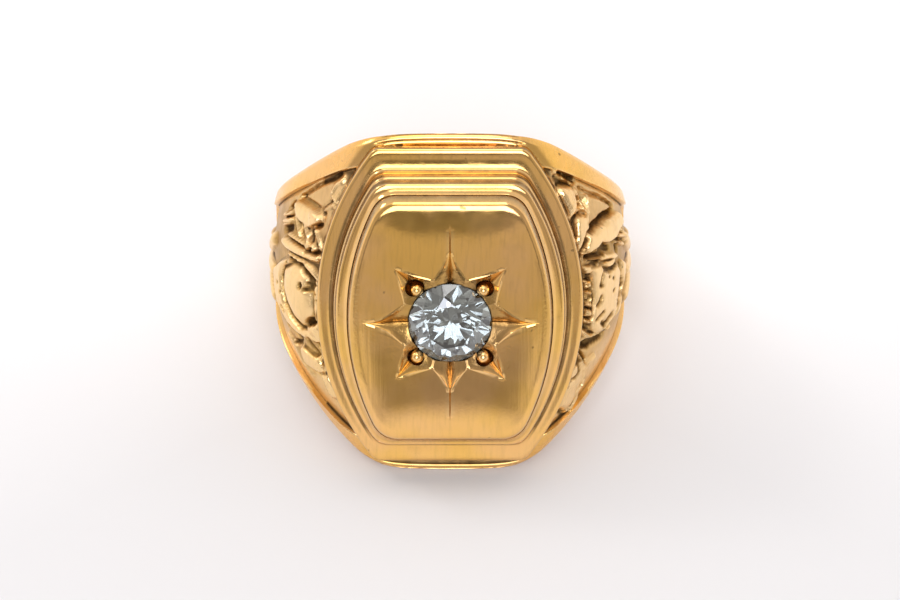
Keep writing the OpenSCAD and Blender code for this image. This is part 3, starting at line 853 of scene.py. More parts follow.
# %% Rays: direction, tip, end of the flare, half width and depth at the root, and hollow
Ray = namedtuple("Ray", "turn tip flare half depth hollow")
STONE_R = 2.5
FACE_MID_H = FACE_H + FACE_RISE
GIRDLE_H = FACE_H
RAYS = [
    Ray(0, 5.45, 5.3, 1.28, 0.50, 2.1),
    Ray(47, 4.95, 4.9, 1.12, 0.52, 1.35),
    Ray(90, 6.35, 4.9, 1.02, 0.46, 1.9),
    Ray(133, 4.95, 4.9, 1.12, 0.52, 1.35),
    Ray(180, 5.35, 5.2, 1.28, 0.50, 2.1),
    Ray(227, 4.85, 4.8, 1.10, 0.52, 1.35),
    Ray(270, 6.45, 4.7, 1.05, 0.46, 1.9),
    Ray(313, 4.95, 4.9, 1.10, 0.52, 1.35),
]
ROOT_AT = 2.8
LINE_W = 0.045
LINE_FADES = 0.8
STEEPEST = 0.62
FINE_STEEP = 1.5
TIP_STEEP = 0.5
CENTRE_CUT = 0.08
HAIR = 0.002


def ray_half_width(ray, r):
    """The flare narrows along a hollow curve, then a fine line runs to the tip."""
    flare = np.clip((ray.flare - r) / (ray.flare - ROOT_AT), 0, 1.4) ** ray.hollow
    return ray.half * flare + LINE_W * np.clip((ray.tip - r) / LINE_FADES, 0, 1)


def column_half_width(ray, r):
    """Past the ray's tip its columns spread again, so that no face becomes a sliver."""
    return np.maximum(ray_half_width(ray, r) + HAIR, 0.02) + 0.12 * np.clip(r - ray.tip, 0, 3)


def ray_depth(ray, r):
    """Depth of the middle. The sides are limited in slope, and a long line is cut steeper."""
    flare = np.clip((ray.flare - r) / (ray.flare - ROOT_AT), 0, 1.1) ** 0.45
    steep = FINE_STEEP if ray.tip - ray.flare > 1 else TIP_STEEP
    line = steep * LINE_W * np.clip((ray.tip - r) / LINE_FADES, 0, 1)
    return np.maximum(np.minimum(ray.depth * flare, STEEPEST * ray_half_width(ray, r)), line)


print(len(RAYS), "rays, the longest", max(ray.tip for ray in RAYS), "mm from the stone's centre")

# %% Columns of the face, which follow the rays
ACROSS = np.array([-1.0, -0.92, -0.5, -0.06, 0.0, 0.06, 0.5, 0.92, 1.0])
LIP = 0.07
BURR = 0.026
HEAD_CORNER = 64.0
CORNER_SPREAD = 4.5


def folded_turn(turn):
    """A direction in degrees, folded into the head's first quarter."""
    return np.abs((turn + 90) % 180 - 90)


def gap_steps(first, last):
    """Parts of the way between two rays, closer where the head's corner lies."""
    low, high = sorted([folded_turn(first), folded_turn(last)])
    holds_corner = low < HEAD_CORNER < high
    fine = np.linspace(0, 1, 400)
    from_corner = folded_turn(first + fine * (last - first)) - HEAD_CORNER
    run = np.cumsum(1 + 6 * holds_corner * np.exp(-(from_corner / CORNER_SPREAD) ** 2))
    run = (run - run[0]) / (run[-1] - run[0])
    count = 40 if holds_corner else 18
    return np.interp(np.arange(1, count) / count, run, fine)


def face_columns():
    """Every column as (ray index, offset across it) or (ray index, part of the gap after it)."""
    columns = []
    for k, ray in enumerate(RAYS):
        following = RAYS[(k + 1) % len(RAYS)].turn + (360 if k == len(RAYS) - 1 else 0)
        columns += [("ray", k, t) for t in ACROSS]
        columns += [("gap", k, t) for t in gap_steps(ray.turn, following)]
    return columns


COLUMNS = face_columns()
print(len(COLUMNS), "columns round the head")

# %% Places of the face's points


def ray_limits(k, r):
    """Half widths of a ray towards both neighbours, where two rays meet in a ridge."""
    ray = RAYS[k]
    limits = []
    for step in (-1, 1):
        other = RAYS[(k + step) % len(RAYS)]
        apart = abs((other.turn - ray.turn + 180) % 360 - 180)
        mine, theirs = column_half_width(ray, r), column_half_width(other, r)
        share = math.radians(apart) * mine / (mine + theirs)
        limits.append(np.minimum(mine, r * np.tan(share) - LIP))
    return limits


def ray_point(k, t, r):
    """x, z and depth of the column at offset t across ray k, at distance r."""
    ray = RAYS[k]
    before, after = ray_limits(k, r)
    half = ray_half_width(ray, r)
    off = np.where(t < 0, t * before, t * after)
    turn = math.radians(ray.turn)
    x = r * math.cos(turn) - off * math.sin(turn)
    z = r * math.sin(turn) + off * math.cos(turn)
    depth = ray_depth(ray, r) * np.clip(1 - np.abs(off) / (half + HAIR), 0, 1)
    if abs(t) == 1:
        depth = depth - BURR * np.clip(half / 0.3, 0, 1) ** 2 * (r < ray.flare)
    if t == 0:
        depth = depth + CENTRE_CUT * np.where(r < ray.flare, half, 0)
    return x, z, depth


def gap_point(k, t, r_first, r_second):
    """A column between two rays: turned from the one's edge to the other's."""
    x0, z0, d0 = ray_point(k, 1.0, r_first)
    x1, z1, d1 = ray_point((k + 1) % len(RAYS), -1.0, r_second)
    a0, a1 = np.arctan2(z0, x0), np.arctan2(z1, x1)
    a1 = np.where(a1 < a0 - 0.01, a1 + 2 * np.pi, a1)
    lip = np.minimum(LIP / np.maximum(1, r_first), (a1 - a0) / 3)
    a0, a1 = a0 + lip, a1 - lip
    turn = a0 + t * (a1 - a0)
    r = np.hypot(x0, z0) * (1 - t) + np.hypot(x1, z1) * t
    return r * np.cos(turn), r * np.sin(turn), np.maximum(0, d0) * (1 - t) + np.maximum(0, d1) * t


print("a ray's half width at its root", RAYS[0].half, "mm")

# %% Rows of the head: the face inside its edge, then the levels down to the wall
FACE_ROWS = 46
INNER_R = 2.25
DOME_POWER = 3.4


def smooth_levels(levels, between):
    """A smooth curve through the table's rows, with extra rows between them."""
    points = np.array(levels)
    padded = np.concatenate([2 * points[:1] - points[1:2], points, 2 * points[-1:] - points[-2:-1]])
    out = []
    for i in range(1, len(padded) - 2):
        p0, p1, p2, p3 = padded[i - 1:i + 3]
        gap = [max(1e-6, np.linalg.norm(b[[0, 4]] - a[[0, 4]]) ** 0.5)
               for a, b in ((p0, p1), (p1, p2), (p2, p3))]
        m1 = (p1 - p0) / gap[0] - (p2 - p0) / (gap[0] + gap[1]) + (p2 - p1) / gap[1]
        m2 = (p2 - p1) / gap[1] - (p3 - p1) / (gap[1] + gap[2]) + (p3 - p2) / gap[2]
        m1, m2 = m1 * gap[1], m2 * gap[1]
        for j in range(between + 1):
            t = j / (between + 1)
            out.append((2 * t ** 3 - 3 * t ** 2 + 1) * p1 + (t ** 3 - 2 * t ** 2 + t) * m1
                       + (3 * t ** 2 - 2 * t ** 3) * p2 + (t ** 3 - t ** 2) * m2)
    out.append(points[-1])
    return np.array(out)


def face_height(x, z):
    """The face's dome, from its inner level's height up to the middle."""
    inner = HEAD_LEVELS[-1]
    part = np.hypot(x, z) / outline_radius(inner, np.arctan2(z, x))
    edge_h = FACE_H - inner[4]
    return edge_h + (FACE_MID_H - edge_h) * (1 - np.clip(part, 0, 1) ** DOME_POWER)


levels = smooth_levels(HEAD_LEVELS, 1)
print(len(levels), "rows on the steps,", FACE_ROWS, "on the face")

# %% Extrude a disc row by row, then set the rows to the head


def head_points():
    """x, n and z of each row and column, from the wall up to the middle of the face."""
    inner = HEAD_LEVELS[-1]
    column_turn = []
    face = np.zeros((FACE_ROWS, len(COLUMNS), 3))
    part = np.linspace(1, 0, FACE_ROWS)
    for c, (kind, k, t) in enumerate(COLUMNS):
        ends = [outline_radius(inner, np.array([math.radians(RAYS[i % len(RAYS)].turn)]))[0]
                for i in (k, k + 1)]
        reach = [INNER_R + (end - INNER_R) * part for end in ends]
        if kind == "ray":
            x, z, depth = ray_point(k, t, reach[0])
        else:
            x, z, depth = gap_point(k, t, reach[0], reach[1])
        turn = math.atan2(z[0], x[0])
        column_turn.append(turn)
        full = outline_radius(inner, np.array([turn]))[0]
        grow = 1 + (full / math.hypot(x[0], z[0]) - 1) * part ** 2
        x, z = x * grow, z * grow
        face[:, c] = np.stack([x, face_height(x, z) - depth, z], axis=1)
    turns = np.array(column_turn)
    steps = np.zeros((len(levels) - 1, len(COLUMNS), 3))
    for i, level in enumerate(levels[:-1]):
        r = outline_radius(level, turns)
        steps[i] = np.stack(
            [r * np.cos(turns), np.full(len(turns), FACE_H - level[4]), r * np.sin(turns)], axis=1)
    return np.concatenate([steps, face])


def make_head():
    """Extrude a disc once for each row, then set its points by row and column."""
    points = head_points()
    rows, columns = points.shape[:2]
    bpy.ops.object.select_all(action="DESELECT")
    bpy.ops.mesh.primitive_circle_add(vertices=columns, radius=5, fill_type="NGON")
    head = take_new("head")
    edit_all(head)
    for _ in range(rows - 1):
        bpy.ops.mesh.extrude_region_move(TRANSFORM_OT_translate={"value": (0, 0, 1)})
    bpy.ops.object.mode_set(mode="OBJECT")
    at = coordinates(head)
    row = np.round(at[:, 2]).astype(int)
    column = np.round(np.arctan2(-at[:, 0], at[:, 1]) / (2 * np.pi) * columns).astype(int) % columns
    x, n, z = points[row, column].T
    set_coordinates(head, np.stack([x, -n, z], axis=1))
    true_normals(head)
    return head


head = make_head()
print("head:", len(head.data.vertices), "points, box", [round(d, 2) for d in head.dimensions])

# %% [markdown]
# ## One casting
# Head and band are fused, and the stone's seat is cut: a bearing for the girdle, a cone
# for the pavilion and a light hole through to the finger. Then a pocket is sunk at the root
# of each slanting ray and a grain is left standing in it, as a setter's graver pushes metal
# up against the stone. The grains are tall, so that they root in the pockets' floors.

# %% Fuse the head, cut the seat, raise the grains
SEAT_GAP = 0.05
GIRDLE_HALF_H = 0.05
PAVILION_H = 0.86 * STONE_R
LIGHT_HOLE_R = 0.9
SHAFT_END_H = 8
ABOVE_GIRDLE = 1.5
GRAIN_R = 0.44
GRAIN_TALL = 0.64
GRAIN_H = GIRDLE_H - 0.15
GRAIN_AWAY = STONE_R + GRAIN_R + 0.01
# direction in degrees, distance from the stone's middle and radius
POCKETS = [(47, 3.06, 0.57), (133, 3.10, 0.60), (227, 3.02, 0.54), (313, 3.05, 0.57)]
POCKET_H = GIRDLE_H + 0.12


def make_seat_cutter():
    """A cylinder extruded down to a cone and on into a narrow shaft."""
    top = GIRDLE_H + ABOVE_GIRDLE
    bearing = GIRDLE_H - GIRDLE_HALF_H - SEAT_GAP
    deep = PAVILION_H + 2 * SEAT_GAP
    bpy.ops.object.select_all(action="DESELECT")
    bpy.ops.mesh.primitive_circle_add(
        vertices=128, radius=STONE_R + SEAT_GAP, fill_type="NGON",
        location=(0, -top, 0), rotation=(math.pi / 2, 0, 0))
    cutter = take_new("seat_cutter")
    narrow = LIGHT_HOLE_R / (STONE_R + SEAT_GAP)
    cone_end = bearing - deep * (1 - narrow)
    apply_place(cutter)
    edit_all(cutter)
    bpy.ops.mesh.extrude_region_move(TRANSFORM_OT_translate={"value": (0, top - bearing, 0)})
    bpy.ops.mesh.extrude_region_move(TRANSFORM_OT_translate={"value": (0, bearing - cone_end, 0)})
    bpy.ops.transform.resize(value=(narrow, 1, narrow), center_override=(0, -cone_end, 0))
    bpy.ops.mesh.extrude_region_move(TRANSFORM_OT_translate={"value": (0, cone_end - SHAFT_END_H, 0)})
    bpy.ops.object.mode_set(mode="OBJECT")
    true_normals(cutter)
    return cutter


def make_ball(slant, away, height, radius, tall):
    """A ball beside the stone for a pocket, or a tall one for the grain in it."""
    turn = math.radians(slant)
    place = (away * math.cos(turn), -height, away * math.sin(turn))
    bpy.ops.object.select_all(action="DESELECT")
    bpy.ops.mesh.primitive_uv_sphere_add(segments=32, ring_count=20, radius=radius, location=place)
    ball = take_new("ball")
    ball.scale = (1, tall / radius, 1)
    apply_place(ball)
    return ball


cut_or_join(casting, head, "UNION")
cut_or_join(casting, make_seat_cutter(), "DIFFERENCE")
for slant, away, radius in POCKETS:
    cut_or_join(casting, make_ball(slant, away, POCKET_H, radius, radius), "DIFFERENCE")
for slant, _, _ in POCKETS:
    cut_or_join(casting, make_ball(slant, GRAIN_AWAY, GRAIN_H, GRAIN_R, GRAIN_TALL), "UNION")
print("casting:", len(casting.data.polygons), "faces after fusing")

# %% [markdown]
# ## The brilliant
# A cutter starts from a round blank and grinds one flat after another. The model is made
# the same way: a cylinder as wide as the girdle, then a bisect for each facet's plane. A
# plane is given by three points of the finished stone, so the facets meet in points.

# %% Cut the brilliant's 57 facets
TABLE_R = 0.56 * STONE_R
CROWN_H = 0.3 * STONE_R
STAR_R = 0.76 * STONE_R
LOWER_R = 0.24 * STONE_R
EIGHTH = math.radians(45)
STONE_TURN = math.radians(11.25)


def around(turn, r, h):
    return Vector((r * math.cos(turn), r * math.sin(turn), h))


def facet_planes():
    """Three points of each facet's plane, crown first and pavilion last."""
    half = EIGHTH / 2
    top, low = GIRDLE_HALF_H, -GIRDLE_HALF_H
    star_h = top + CROWN_H * (1 - STAR_R / STONE_R * math.cos(half)) / (1 - TABLE_R / STONE_R)
    lower_h = low - PAVILION_H * (1 - LOWER_R / STONE_R * math.cos(half))
    culet = Vector((0, 0, low - PAVILION_H))
    planes = [[around(k * EIGHTH, TABLE_R, top + CROWN_H) for k in range(3)]]
    for k in range(8):
        turn = k * EIGHTH
        table, edge = around(turn, TABLE_R, top + CROWN_H), around(turn, STONE_R, top)
        star = around(turn + half, STAR_R, star_h)
        planes.append([table, edge, star])
        planes.append([table, star, around(turn + EIGHTH, TABLE_R, top + CROWN_H)])
        deep = around(turn + half, LOWER_R, lower_h)
        bottom_edge = around(turn, STONE_R, low)
        planes.append([bottom_edge, culet, deep])
        for side in (0, 1):
            a, b = turn + side * half, turn + (side + 1) * half
            planes.append([around(a, STONE_R, top), around(b, STONE_R, top), star])
            planes.append([around(a, STONE_R, low), around(b, STONE_R, low), deep])
    return planes


def make_diamond():
    """Grind a round blank by one plane after another, then set it in its seat."""
    bpy.ops.object.select_all(action="DESELECT")
    bpy.ops.mesh.primitive_cylinder_add(
        vertices=96, radius=STONE_R - 0.004, depth=8, end_fill_type="NGON")
    stone = take_new("cut_brilliant")
    edit_all(stone)
    for a, b, c in facet_planes():
        normal = (b - a).cross(c - a).normalized()
        if normal.dot(a) < 0:
            normal = -normal
        bpy.ops.mesh.select_all(action="SELECT")
        bpy.ops.mesh.bisect(plane_co=a, plane_no=normal, use_fill=True, clear_outer=True,
                            threshold=1e-5)
    bpy.ops.mesh.select_all(action="SELECT")
    bpy.ops.mesh.remove_doubles(threshold=1e-4)
    bpy.ops.mesh.normals_make_consistent(inside=False)
    bpy.ops.transform.rotate(value=STONE_TURN, orient_axis="Z", center_override=(0, 0, 0))
    bpy.ops.object.mode_set(mode="OBJECT")
    stone.rotation_euler = (math.pi / 2, 0, 0)
    stone.location = (0, -GIRDLE_H, 0)
    apply_place(stone)
    return stone


diamond = make_diamond()
print("brilliant:", len(diamond.data.polygons), "faces, box",
      [round(d, 2) for d in diamond.dimensions])

# %% [markdown]
# ## Materials
# Polished gold is a mirror with a warm colour, so its look comes from what it reflects.
# What makes it read as worn metal is small: fine scratches, a slight waviness, a darker and
# duller tone where polish never reaches, in the carving and along the steps, which is dirt
# together with painted shade in recesses, creases and on the step walls, and a paler one on
# edges and ornament, which is rubbed wear together with a painted highlight. Where each of
# these lies is measured on the mesh and stored with its points, because it follows the ring's
# own shapes.

# %% Measures for the marks
# how dark each kind of recess is painted: dirt together with painted shade
DIRT_AND_SHADE_IN = {"ground": 0.55, "pocket": 0.75, "ray": 0.85, "groove": 0.95, "flange": 0.9, "foot": 0.8}
SATIN_RUN = 0.5
INNER_SATIN = 0.3


def within(value, low, high):
    return (value > low) & (value < high)


def from_axis(at, slant, away):
    """Distance of each point from an axis beside the stone, as the face is seen."""
    turn = math.radians(slant)
    return np.hypot(at[:, 0] - away * math.cos(turn), at[:, 2] - away * math.sin(turn))


def marks_eased_below(z, least):
    """Towards the panels' lower ends their painted shade and grime, and their edges' paleness, fade down
    to the least part.
    """
    return np.maximum(least, grown(z, -5.5, -2))


def marks_eased_above(z):
    """The panels' upper ends keep half of their painted shade and grime, and of their edges' paleness."""
    return 1 - 0.5 * grown(z, 3.5, 5.5)


def store(obj, name, values):
    layer = obj.data.attributes.new(name, "FLOAT", "POINT")
    layer.data.foreach_set("value", values.astype(np.float32))


# the grime on the panels' ground is painted shade together with dirt
print("the panels' lower ends keep", float(marks_eased_below(-9.0, 0.25)), "of the grime on their ground")

# %% Grime with painted shade, carving and satin metal, as attributes of the casting


def dirt_and_shade_in_carving(angle, z, on_left):
    """Grime and painted shade lie in the cuts, and more thinly on the ground between the plates."""
    uncut = carving_height(angle, z, on_left, with_cuts=False)
    cut = uncut - carving_height(angle, z, on_left)
    ground = DIRT_AND_SHADE_IN["ground"] * grown(uncut, 0.2, 0.12) * marks_eased_below(z, 0.25)
    return np.maximum(np.clip(cut / 0.18, 0, 1), ground) * marks_eased_above(z)


def dirt_and_shade_in_star(at, height):
    """Painted shade with some grime round the grains, down the rays' middles and in the rays, and painted
    shade in the stone's seat.
    """
    dirt_and_shade = np.zeros(len(at))
    for slant, away, radius in POCKETS:
        pocket = (from_axis(at, slant, away) < radius) & (from_axis(at, slant, GRAIN_AWAY) > GRAIN_R)
        pocket = pocket & within(height, GIRDLE_H - 0.6, GIRDLE_H + 0.2)
        dirt_and_shade = np.maximum(dirt_and_shade, DIRT_AND_SHADE_IN["pocket"] * pocket)
    low_face = height > GIRDLE_H - 0.7
    for ray in RAYS:
        turn = math.radians(ray.turn)
        along = at[:, 0] * math.cos(turn) + at[:, 2] * math.sin(turn)
        off = np.abs(at[:, 2] * math.cos(turn) - at[:, 0] * math.sin(turn))
        middle = (off < 2 * HAIR) & within(along, 2.4, ray.tip - 0.6) & low_face
        dirt_and_shade = np.maximum(dirt_and_shade, DIRT_AND_SHADE_IN["ray"] * middle)
    away = np.hypot(at[:, 0], at[:, 2])
    engraved = (face_height(at[:, 0], at[:, 2]) - height > 0.03) & (away < 6.5) & low_face
    dirt_and_shade = np.maximum(dirt_and_shade, engraved * (0.15 + 0.45 * grown(away, 4.4, 3.0)))
    # the seat's metal is painted near black, as painted shade round the stone
    seat = (away < STONE_R + SEAT_GAP + 0.02) & within(height, 9.5, FACE_H + 0.5)
    return np.maximum(dirt_and_shade, seat)


def dirt_and_shade_on_steps(at, angle, z, height):
    """Grime and painted shade in the mouldings' grooves, beside the lower flange and at the foot of the
    head.
    """
    w = half_width(rim_height(angle))
    line = -flange_grooves(angle, z, w) / MOULDING_DEPTH
    line = np.clip(line * within(height, FLANGE_H - 0.3, FLANGE_H + 0.02), 0, 1) ** 3
    innermost = (w - np.abs(z) > MOULDINGS[1]) & within(height, FLANGE_H - 0.3, FLANGE_H + 0.3)
    innermost = innermost & (angle < 24) & (z < 0)
    foot = within(height, FACE_H - 2.53, FACE_H - 2.20) * grown(np.abs(at[:, 0]), 4.7, 5.3)
    dirt_and_shade = np.maximum(DIRT_AND_SHADE_IN["groove"] * line, DIRT_AND_SHADE_IN["flange"] * innermost)
    return np.maximum(dirt_and_shade, DIRT_AND_SHADE_IN["foot"] * foot)


def satin_metal(z, r, height):
    """The band is brushed, less in the finger hole, and so is the lower flange's edge."""
    satin = grown(height, FLANGE_H, FLANGE_H - SATIN_RUN)
    satin = np.maximum(satin, (z < -9.5) & within(height, 8, FLANGE_H + 0.1))
    return satin * np.where(r < BORE_R + 0.25, INNER_SATIN, 1.0)


def add_marks(obj):
    """Marks the carved panels, the grime and painted shade in all recesses and the satin metal of the
    band.
    """
    at = coordinates(obj)
    height = -at[:, 1]
    angle = np.degrees(np.arctan2(np.abs(at[:, 0]), height))
    r = np.hypot(at[:, 0], height)
    z = at[:, 2] / (1 - hand_shrink(angle, at[:, 2]))
    carved = np.clip((panel_half_width(angle) - np.abs(z)) / 0.2, 0, 1)
    carved = carved * (r > BORE_R + 0.5) * (height < FLANGE_H - 0.02) * (angle > 15)
    recess = dirt_and_shade_in_carving(angle, z, at[:, 0] < 0) * carved
    recess = np.maximum(recess, dirt_and_shade_in_star(at, height))
    recess = np.maximum(recess, dirt_and_shade_on_steps(at, angle, z, height))
    store(obj, "recess", recess)
    store(obj, "carved", carved)
    store(obj, "satin", satin_metal(z, r, height))
    return float(recess.mean())


print("mean recess", round(add_marks(casting), 3))

# %% How hollow each point is, as attributes of the casting
FINE_ROUNDS = 2
WIDE_ROUNDS = 14
FULL_WEIGHT_AT = 0.02
CARVING_FROM_X = 7.6


def edge_ends(mesh):
    ends = np.empty(2 * len(mesh.edges), dtype=np.int64)
    mesh.edges.foreach_get("vertices", ends)
    return ends.reshape(-1, 2).T


def add_cavity(obj):
    """Stores how hollow each point is: 0.5 on flat metal, 1 in a groove, 0 on an edge."""
    at = coordinates(obj)
    count = len(at)
    flat = np.empty(3 * count)
    obj.data.vertices.foreach_get("normal", flat)
    normal = flat.reshape(-1, 3)
    a, b = edge_ends(obj.data)
    step = at[b] - at[a]
    length = np.maximum(1e-6, np.linalg.norm(step, axis=1))
    near = np.minimum(1, length / FULL_WEIGHT_AT)
    weights = np.maximum(1e-6, np.bincount(a, near, count) + np.bincount(b, near, count))
    rise = np.bincount(a, near * np.einsum("ij,ij->i", step, normal[a]) / length, count)
    rise += np.bincount(b, -near * np.einsum("ij,ij->i", step, normal[b]) / length, count)
    fine = wide = rise / weights
    for done in range(WIDE_ROUNDS):
        total = np.bincount(a, near * wide[b], count) + np.bincount(b, near * wide[a], count)
        wide = 0.5 * wide + 0.5 * total / weights
        if done == FINE_ROUNDS - 1:
            fine = wide
    # the panels' ends get weaker painted shade in their creases and less painted paleness on their edges
    marks_eased = marks_eased_below(at[:, 2], 0.35) * marks_eased_above(at[:, 2])
    marks_eased = np.where(np.abs(at[:, 0]) > CARVING_FROM_X, marks_eased, 1.0)
    cavity = np.clip(0.5 + 1.6 * fine * marks_eased, 0, 1)
    # The step walls are found by the way they face. Their cavity is raised here so that the gold paints
    # them darker, as painted shade, and the gold also gives them a painted paler tone.
    riser = grown(-normal[:, 1], 0.78, 0.28) * (-at[:, 1] > FLANGE_H - 0.02)
    riser = riser * (np.hypot(at[:, 0], at[:, 2]) > 5)
    cavity = np.where(riser > 0.05, np.maximum(cavity, 0.5 + 0.17 * riser), cavity)
    store(obj, "cavity", cavity)
    store(obj, "hollow", np.clip(0.5 + 6 * wide * marks_eased, 0, 1))
    store(obj, "riser", riser)
    return cavity


hollow_parts = add_cavity(casting)
print("hollow points", int((hollow_parts > 0.7).sum()), "edge points", int((hollow_parts < 0.3).sum()))

# %% Gold, and the clear stone
YELLOW_GOLD = (0.93, 0.55, 0.145, 1)
ROSE_GOLD = (0.94, 0.56, 0.215, 1)
# a pale gold: partly rubbed wear, partly a painted highlight on edges, plate tops and step walls
WEAR_AND_HIGHLIGHT_GOLD = (1.0, 0.75, 0.42, 1)
# a near-black brown, used for real stains and dirt and for painted shade in creases, recesses and the
# stone's seat
DIRT_AND_SHADE = (0.06, 0.032, 0.012, 1)
# a dark grey tint: painted shade that stands in for the dark surroundings the stone shows
DIMMED_STONE_TINT = (0.30, 0.335, 0.325, 1)


def node(tree, kind, **settings):
    made = tree.nodes.new(kind)
    for key, value in settings.items():
        setattr(made, key, value)
    return made


def mixed(tree, factor, first, second):
    """A colour mix whose sockets take either a colour or another node's output."""
    mix = node(tree, "ShaderNodeMix", data_type="RGBA")
    for socket, value in (("Factor", factor), ("A", first), ("B", second)):
        target = next(s for s in mix.inputs if s.name == socket and (
            s.type == ("VALUE" if socket == "Factor" else "RGBA")))
        if hasattr(value, "is_output"):
            tree.links.new(value, target)
        else:
            target.default_value = value
    return next(s for s in mix.outputs if s.type == "RGBA")


def math_node(tree, operation, first, second=0.0, clamp=False):
    step = node(tree, "ShaderNodeMath", operation=operation, use_clamp=clamp)
    for socket, value in zip(step.inputs, (first, second)):
        if hasattr(value, "is_output"):
            tree.links.new(value, socket)
        else:
            socket.default_value = value
    return step.outputs[0]


def ranged(tree, value, low, high, to_low, to_high, smooth=False):
    """Map a value's range to another and hold it there."""
    step = node(tree, "ShaderNodeMapRange", interpolation_type="SMOOTHSTEP" if smooth else "LINEAR")
    tree.links.new(value, step.inputs["Value"])
    for name, number in (("From Min", low), ("From Max", high),
                         ("To Min", to_low), ("To Max", to_high)):
        step.inputs[name].default_value = number
    return step.outputs["Result"]


def noise(tree, coords, scale, detail=2.0, stretch=(1, 1, 1)):
    """Noise on object coordinates, in metres, so a scale of 1000 has features of 1 mm."""
    place = node(tree, "ShaderNodeMapping")
    place.inputs["Scale"].default_value = stretch
    tree.links.new(coords, place.inputs["Vector"])
    made = node(tree, "ShaderNodeTexNoise")
    made.inputs["Scale"].default_value = scale
    made.inputs["Detail"].default_value = detail
    tree.links.new(place.outputs[0], made.inputs["Vector"])
    return made.outputs["Fac"]


def new_material(name):
    """A node material, with its tree and its Principled shader."""
    material = bpy.data.materials.new(name)
    material.use_nodes = True
    return material, material.node_tree, material.node_tree.nodes["Principled BSDF"]


def make_gold():
    material, tree, shader = new_material("gold")
    shader.inputs["Metallic"].default_value = 1.0
    coords = node(tree, "ShaderNodeTexCoord").outputs["Object"]
    recess, carved, cavity, satin, hollow, riser = (
        node(tree, "ShaderNodeAttribute", attribute_name=name).outputs["Fac"]
        for name in ("recess", "carved", "cavity", "satin", "hollow", "riser"))

    def times(first, second):
        return math_node(tree, "MULTIPLY", first, second)

    def most(first, second):
        return math_node(tree, "MAXIMUM", first, second)

    def plus(first, second):
        return math_node(tree, "ADD", first, second)

    stood = node(tree, "ShaderNodeVectorRotate", rotation_type="X_AXIS")
    stood.inputs["Angle"].default_value = LEAN
    tree.links.new(coords, stood.inputs["Vector"])
    upright = stood.outputs["Vector"]

    cloud = noise(tree, coords, 230, 3)
    blotch = noise(tree, coords, 900, 4)
    grain = noise(tree, coords, 5200, 3)
    stains = noise(tree, coords, 650, 5)
    pits = noise(tree, coords, 1900, 1)
    hairs = noise(tree, upright, 3400, 3, (1.0, 0.4, 0.05))
    drawn = noise(tree, upright, 4200, 3, (0.08, 0.08, 1.0))
    streaks = noise(tree, upright, 5200, 4, (1.0, 0.5, 0.12))

    # two golds in clouds; paler on edges and plates, which is rubbed wear with a painted highlight, and on
    # the step walls, where it is a painted highlight
    metal = mixed(tree, ranged(tree, cloud, 0.38, 0.62, 0, 1), YELLOW_GOLD, ROSE_GOLD)
    bare = math_node(tree, "SUBTRACT", 1, times(recess, 1.6), clamp=True)
    wear_and_highlight = most(ranged(tree, cavity, 0.46, 0.22, 0, 0.35), times(times(carved, 0.62), bare))
    metal = mixed(tree, most(wear_and_highlight, times(riser, 0.8)), metal, WEAR_AND_HIGHLIGHT_GOLD)

    # painted shade with some grime in creases, recesses, on the step walls and in wide hollows of the
    # carving; real grime in stains, pits and streaks
    dirt_and_shade = times(ranged(tree, cavity, 0.53, 0.72, 0, 1), ranged(tree, blotch, 0.30, 0.60, 0.72, 1))
    dirt_and_shade = most(dirt_and_shade, times(recess, ranged(tree, blotch, 0.35, 0.65, 0.75, 1.0)))
    dirt_and_shade = most(dirt_and_shade, times(ranged(tree, hollow, 0.545, 0.76, 0, 0.9), carved))
    dirt_and_shade = most(dirt_and_shade, ranged(tree, stains, 0.58, 0.75, 0, 0.12))
    dirt_and_shade = most(dirt_and_shade, ranged(tree, pits, 0.75, 0.79, 0, 0.55))
    dirt_and_shade = math_node(tree, "ADD", dirt_and_shade, ranged(tree, streaks, 0.48, 0.75, 0, 0.10), clamp=True)
    tree.links.new(mixed(tree, times(dirt_and_shade, 0.95), metal, DIRT_AND_SHADE), shader.inputs["Base Color"])

    rough = plus(ranged(tree, blotch, 0.3, 0.7, 0.07, 0.14), times(satin, 0.17))
    rough = plus(rough, times(carved, 0.03))
    rough = math_node(tree, "ADD", rough, times(dirt_and_shade, 0.25), clamp=True)
    tree.links.new(rough, shader.inputs["Roughness"])

    # casting grain where it is chased, brushing on the band and hairlines all over
    relief = times(grain, ranged(tree, most(carved, recess), 0, 1, 0.2, 5.0))
    relief = plus(relief, times(satin, times(drawn, 3.0)))
    relief = plus(relief, times(hairs, 0.8))
    bump = node(tree, "ShaderNodeBump")
    bump.inputs["Distance"].default_value = 0.000006
    tree.links.new(relief, bump.inputs["Height"])
    tree.links.new(bump.outputs["Normal"], shader.inputs["Normal"])
    return material


def make_clear():
    material, _, shader = new_material("diamond")
    shader.inputs["Base Color"].default_value = DIMMED_STONE_TINT
    shader.inputs["Roughness"].default_value = 0.0
    shader.inputs["IOR"].default_value = 2.42
    shader.inputs["Transmission Weight"].default_value = 1.0
    return material


gold = make_gold()
clear = make_clear()
print("materials:", gold.name, clear.name)

# %% Finish both pieces and set them in the frame


def finish_piece(obj, material, smooth_angle):
    """Give a piece its material and shading, and set it in the frame on the one body."""
    obj.data.materials.clear()
    obj.data.materials.append(material)
    only(obj)
    if smooth_angle:
        bpy.ops.object.shade_smooth_by_angle(angle=math.radians(smooth_angle))
    lay_down(obj)
    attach(obj, "root")


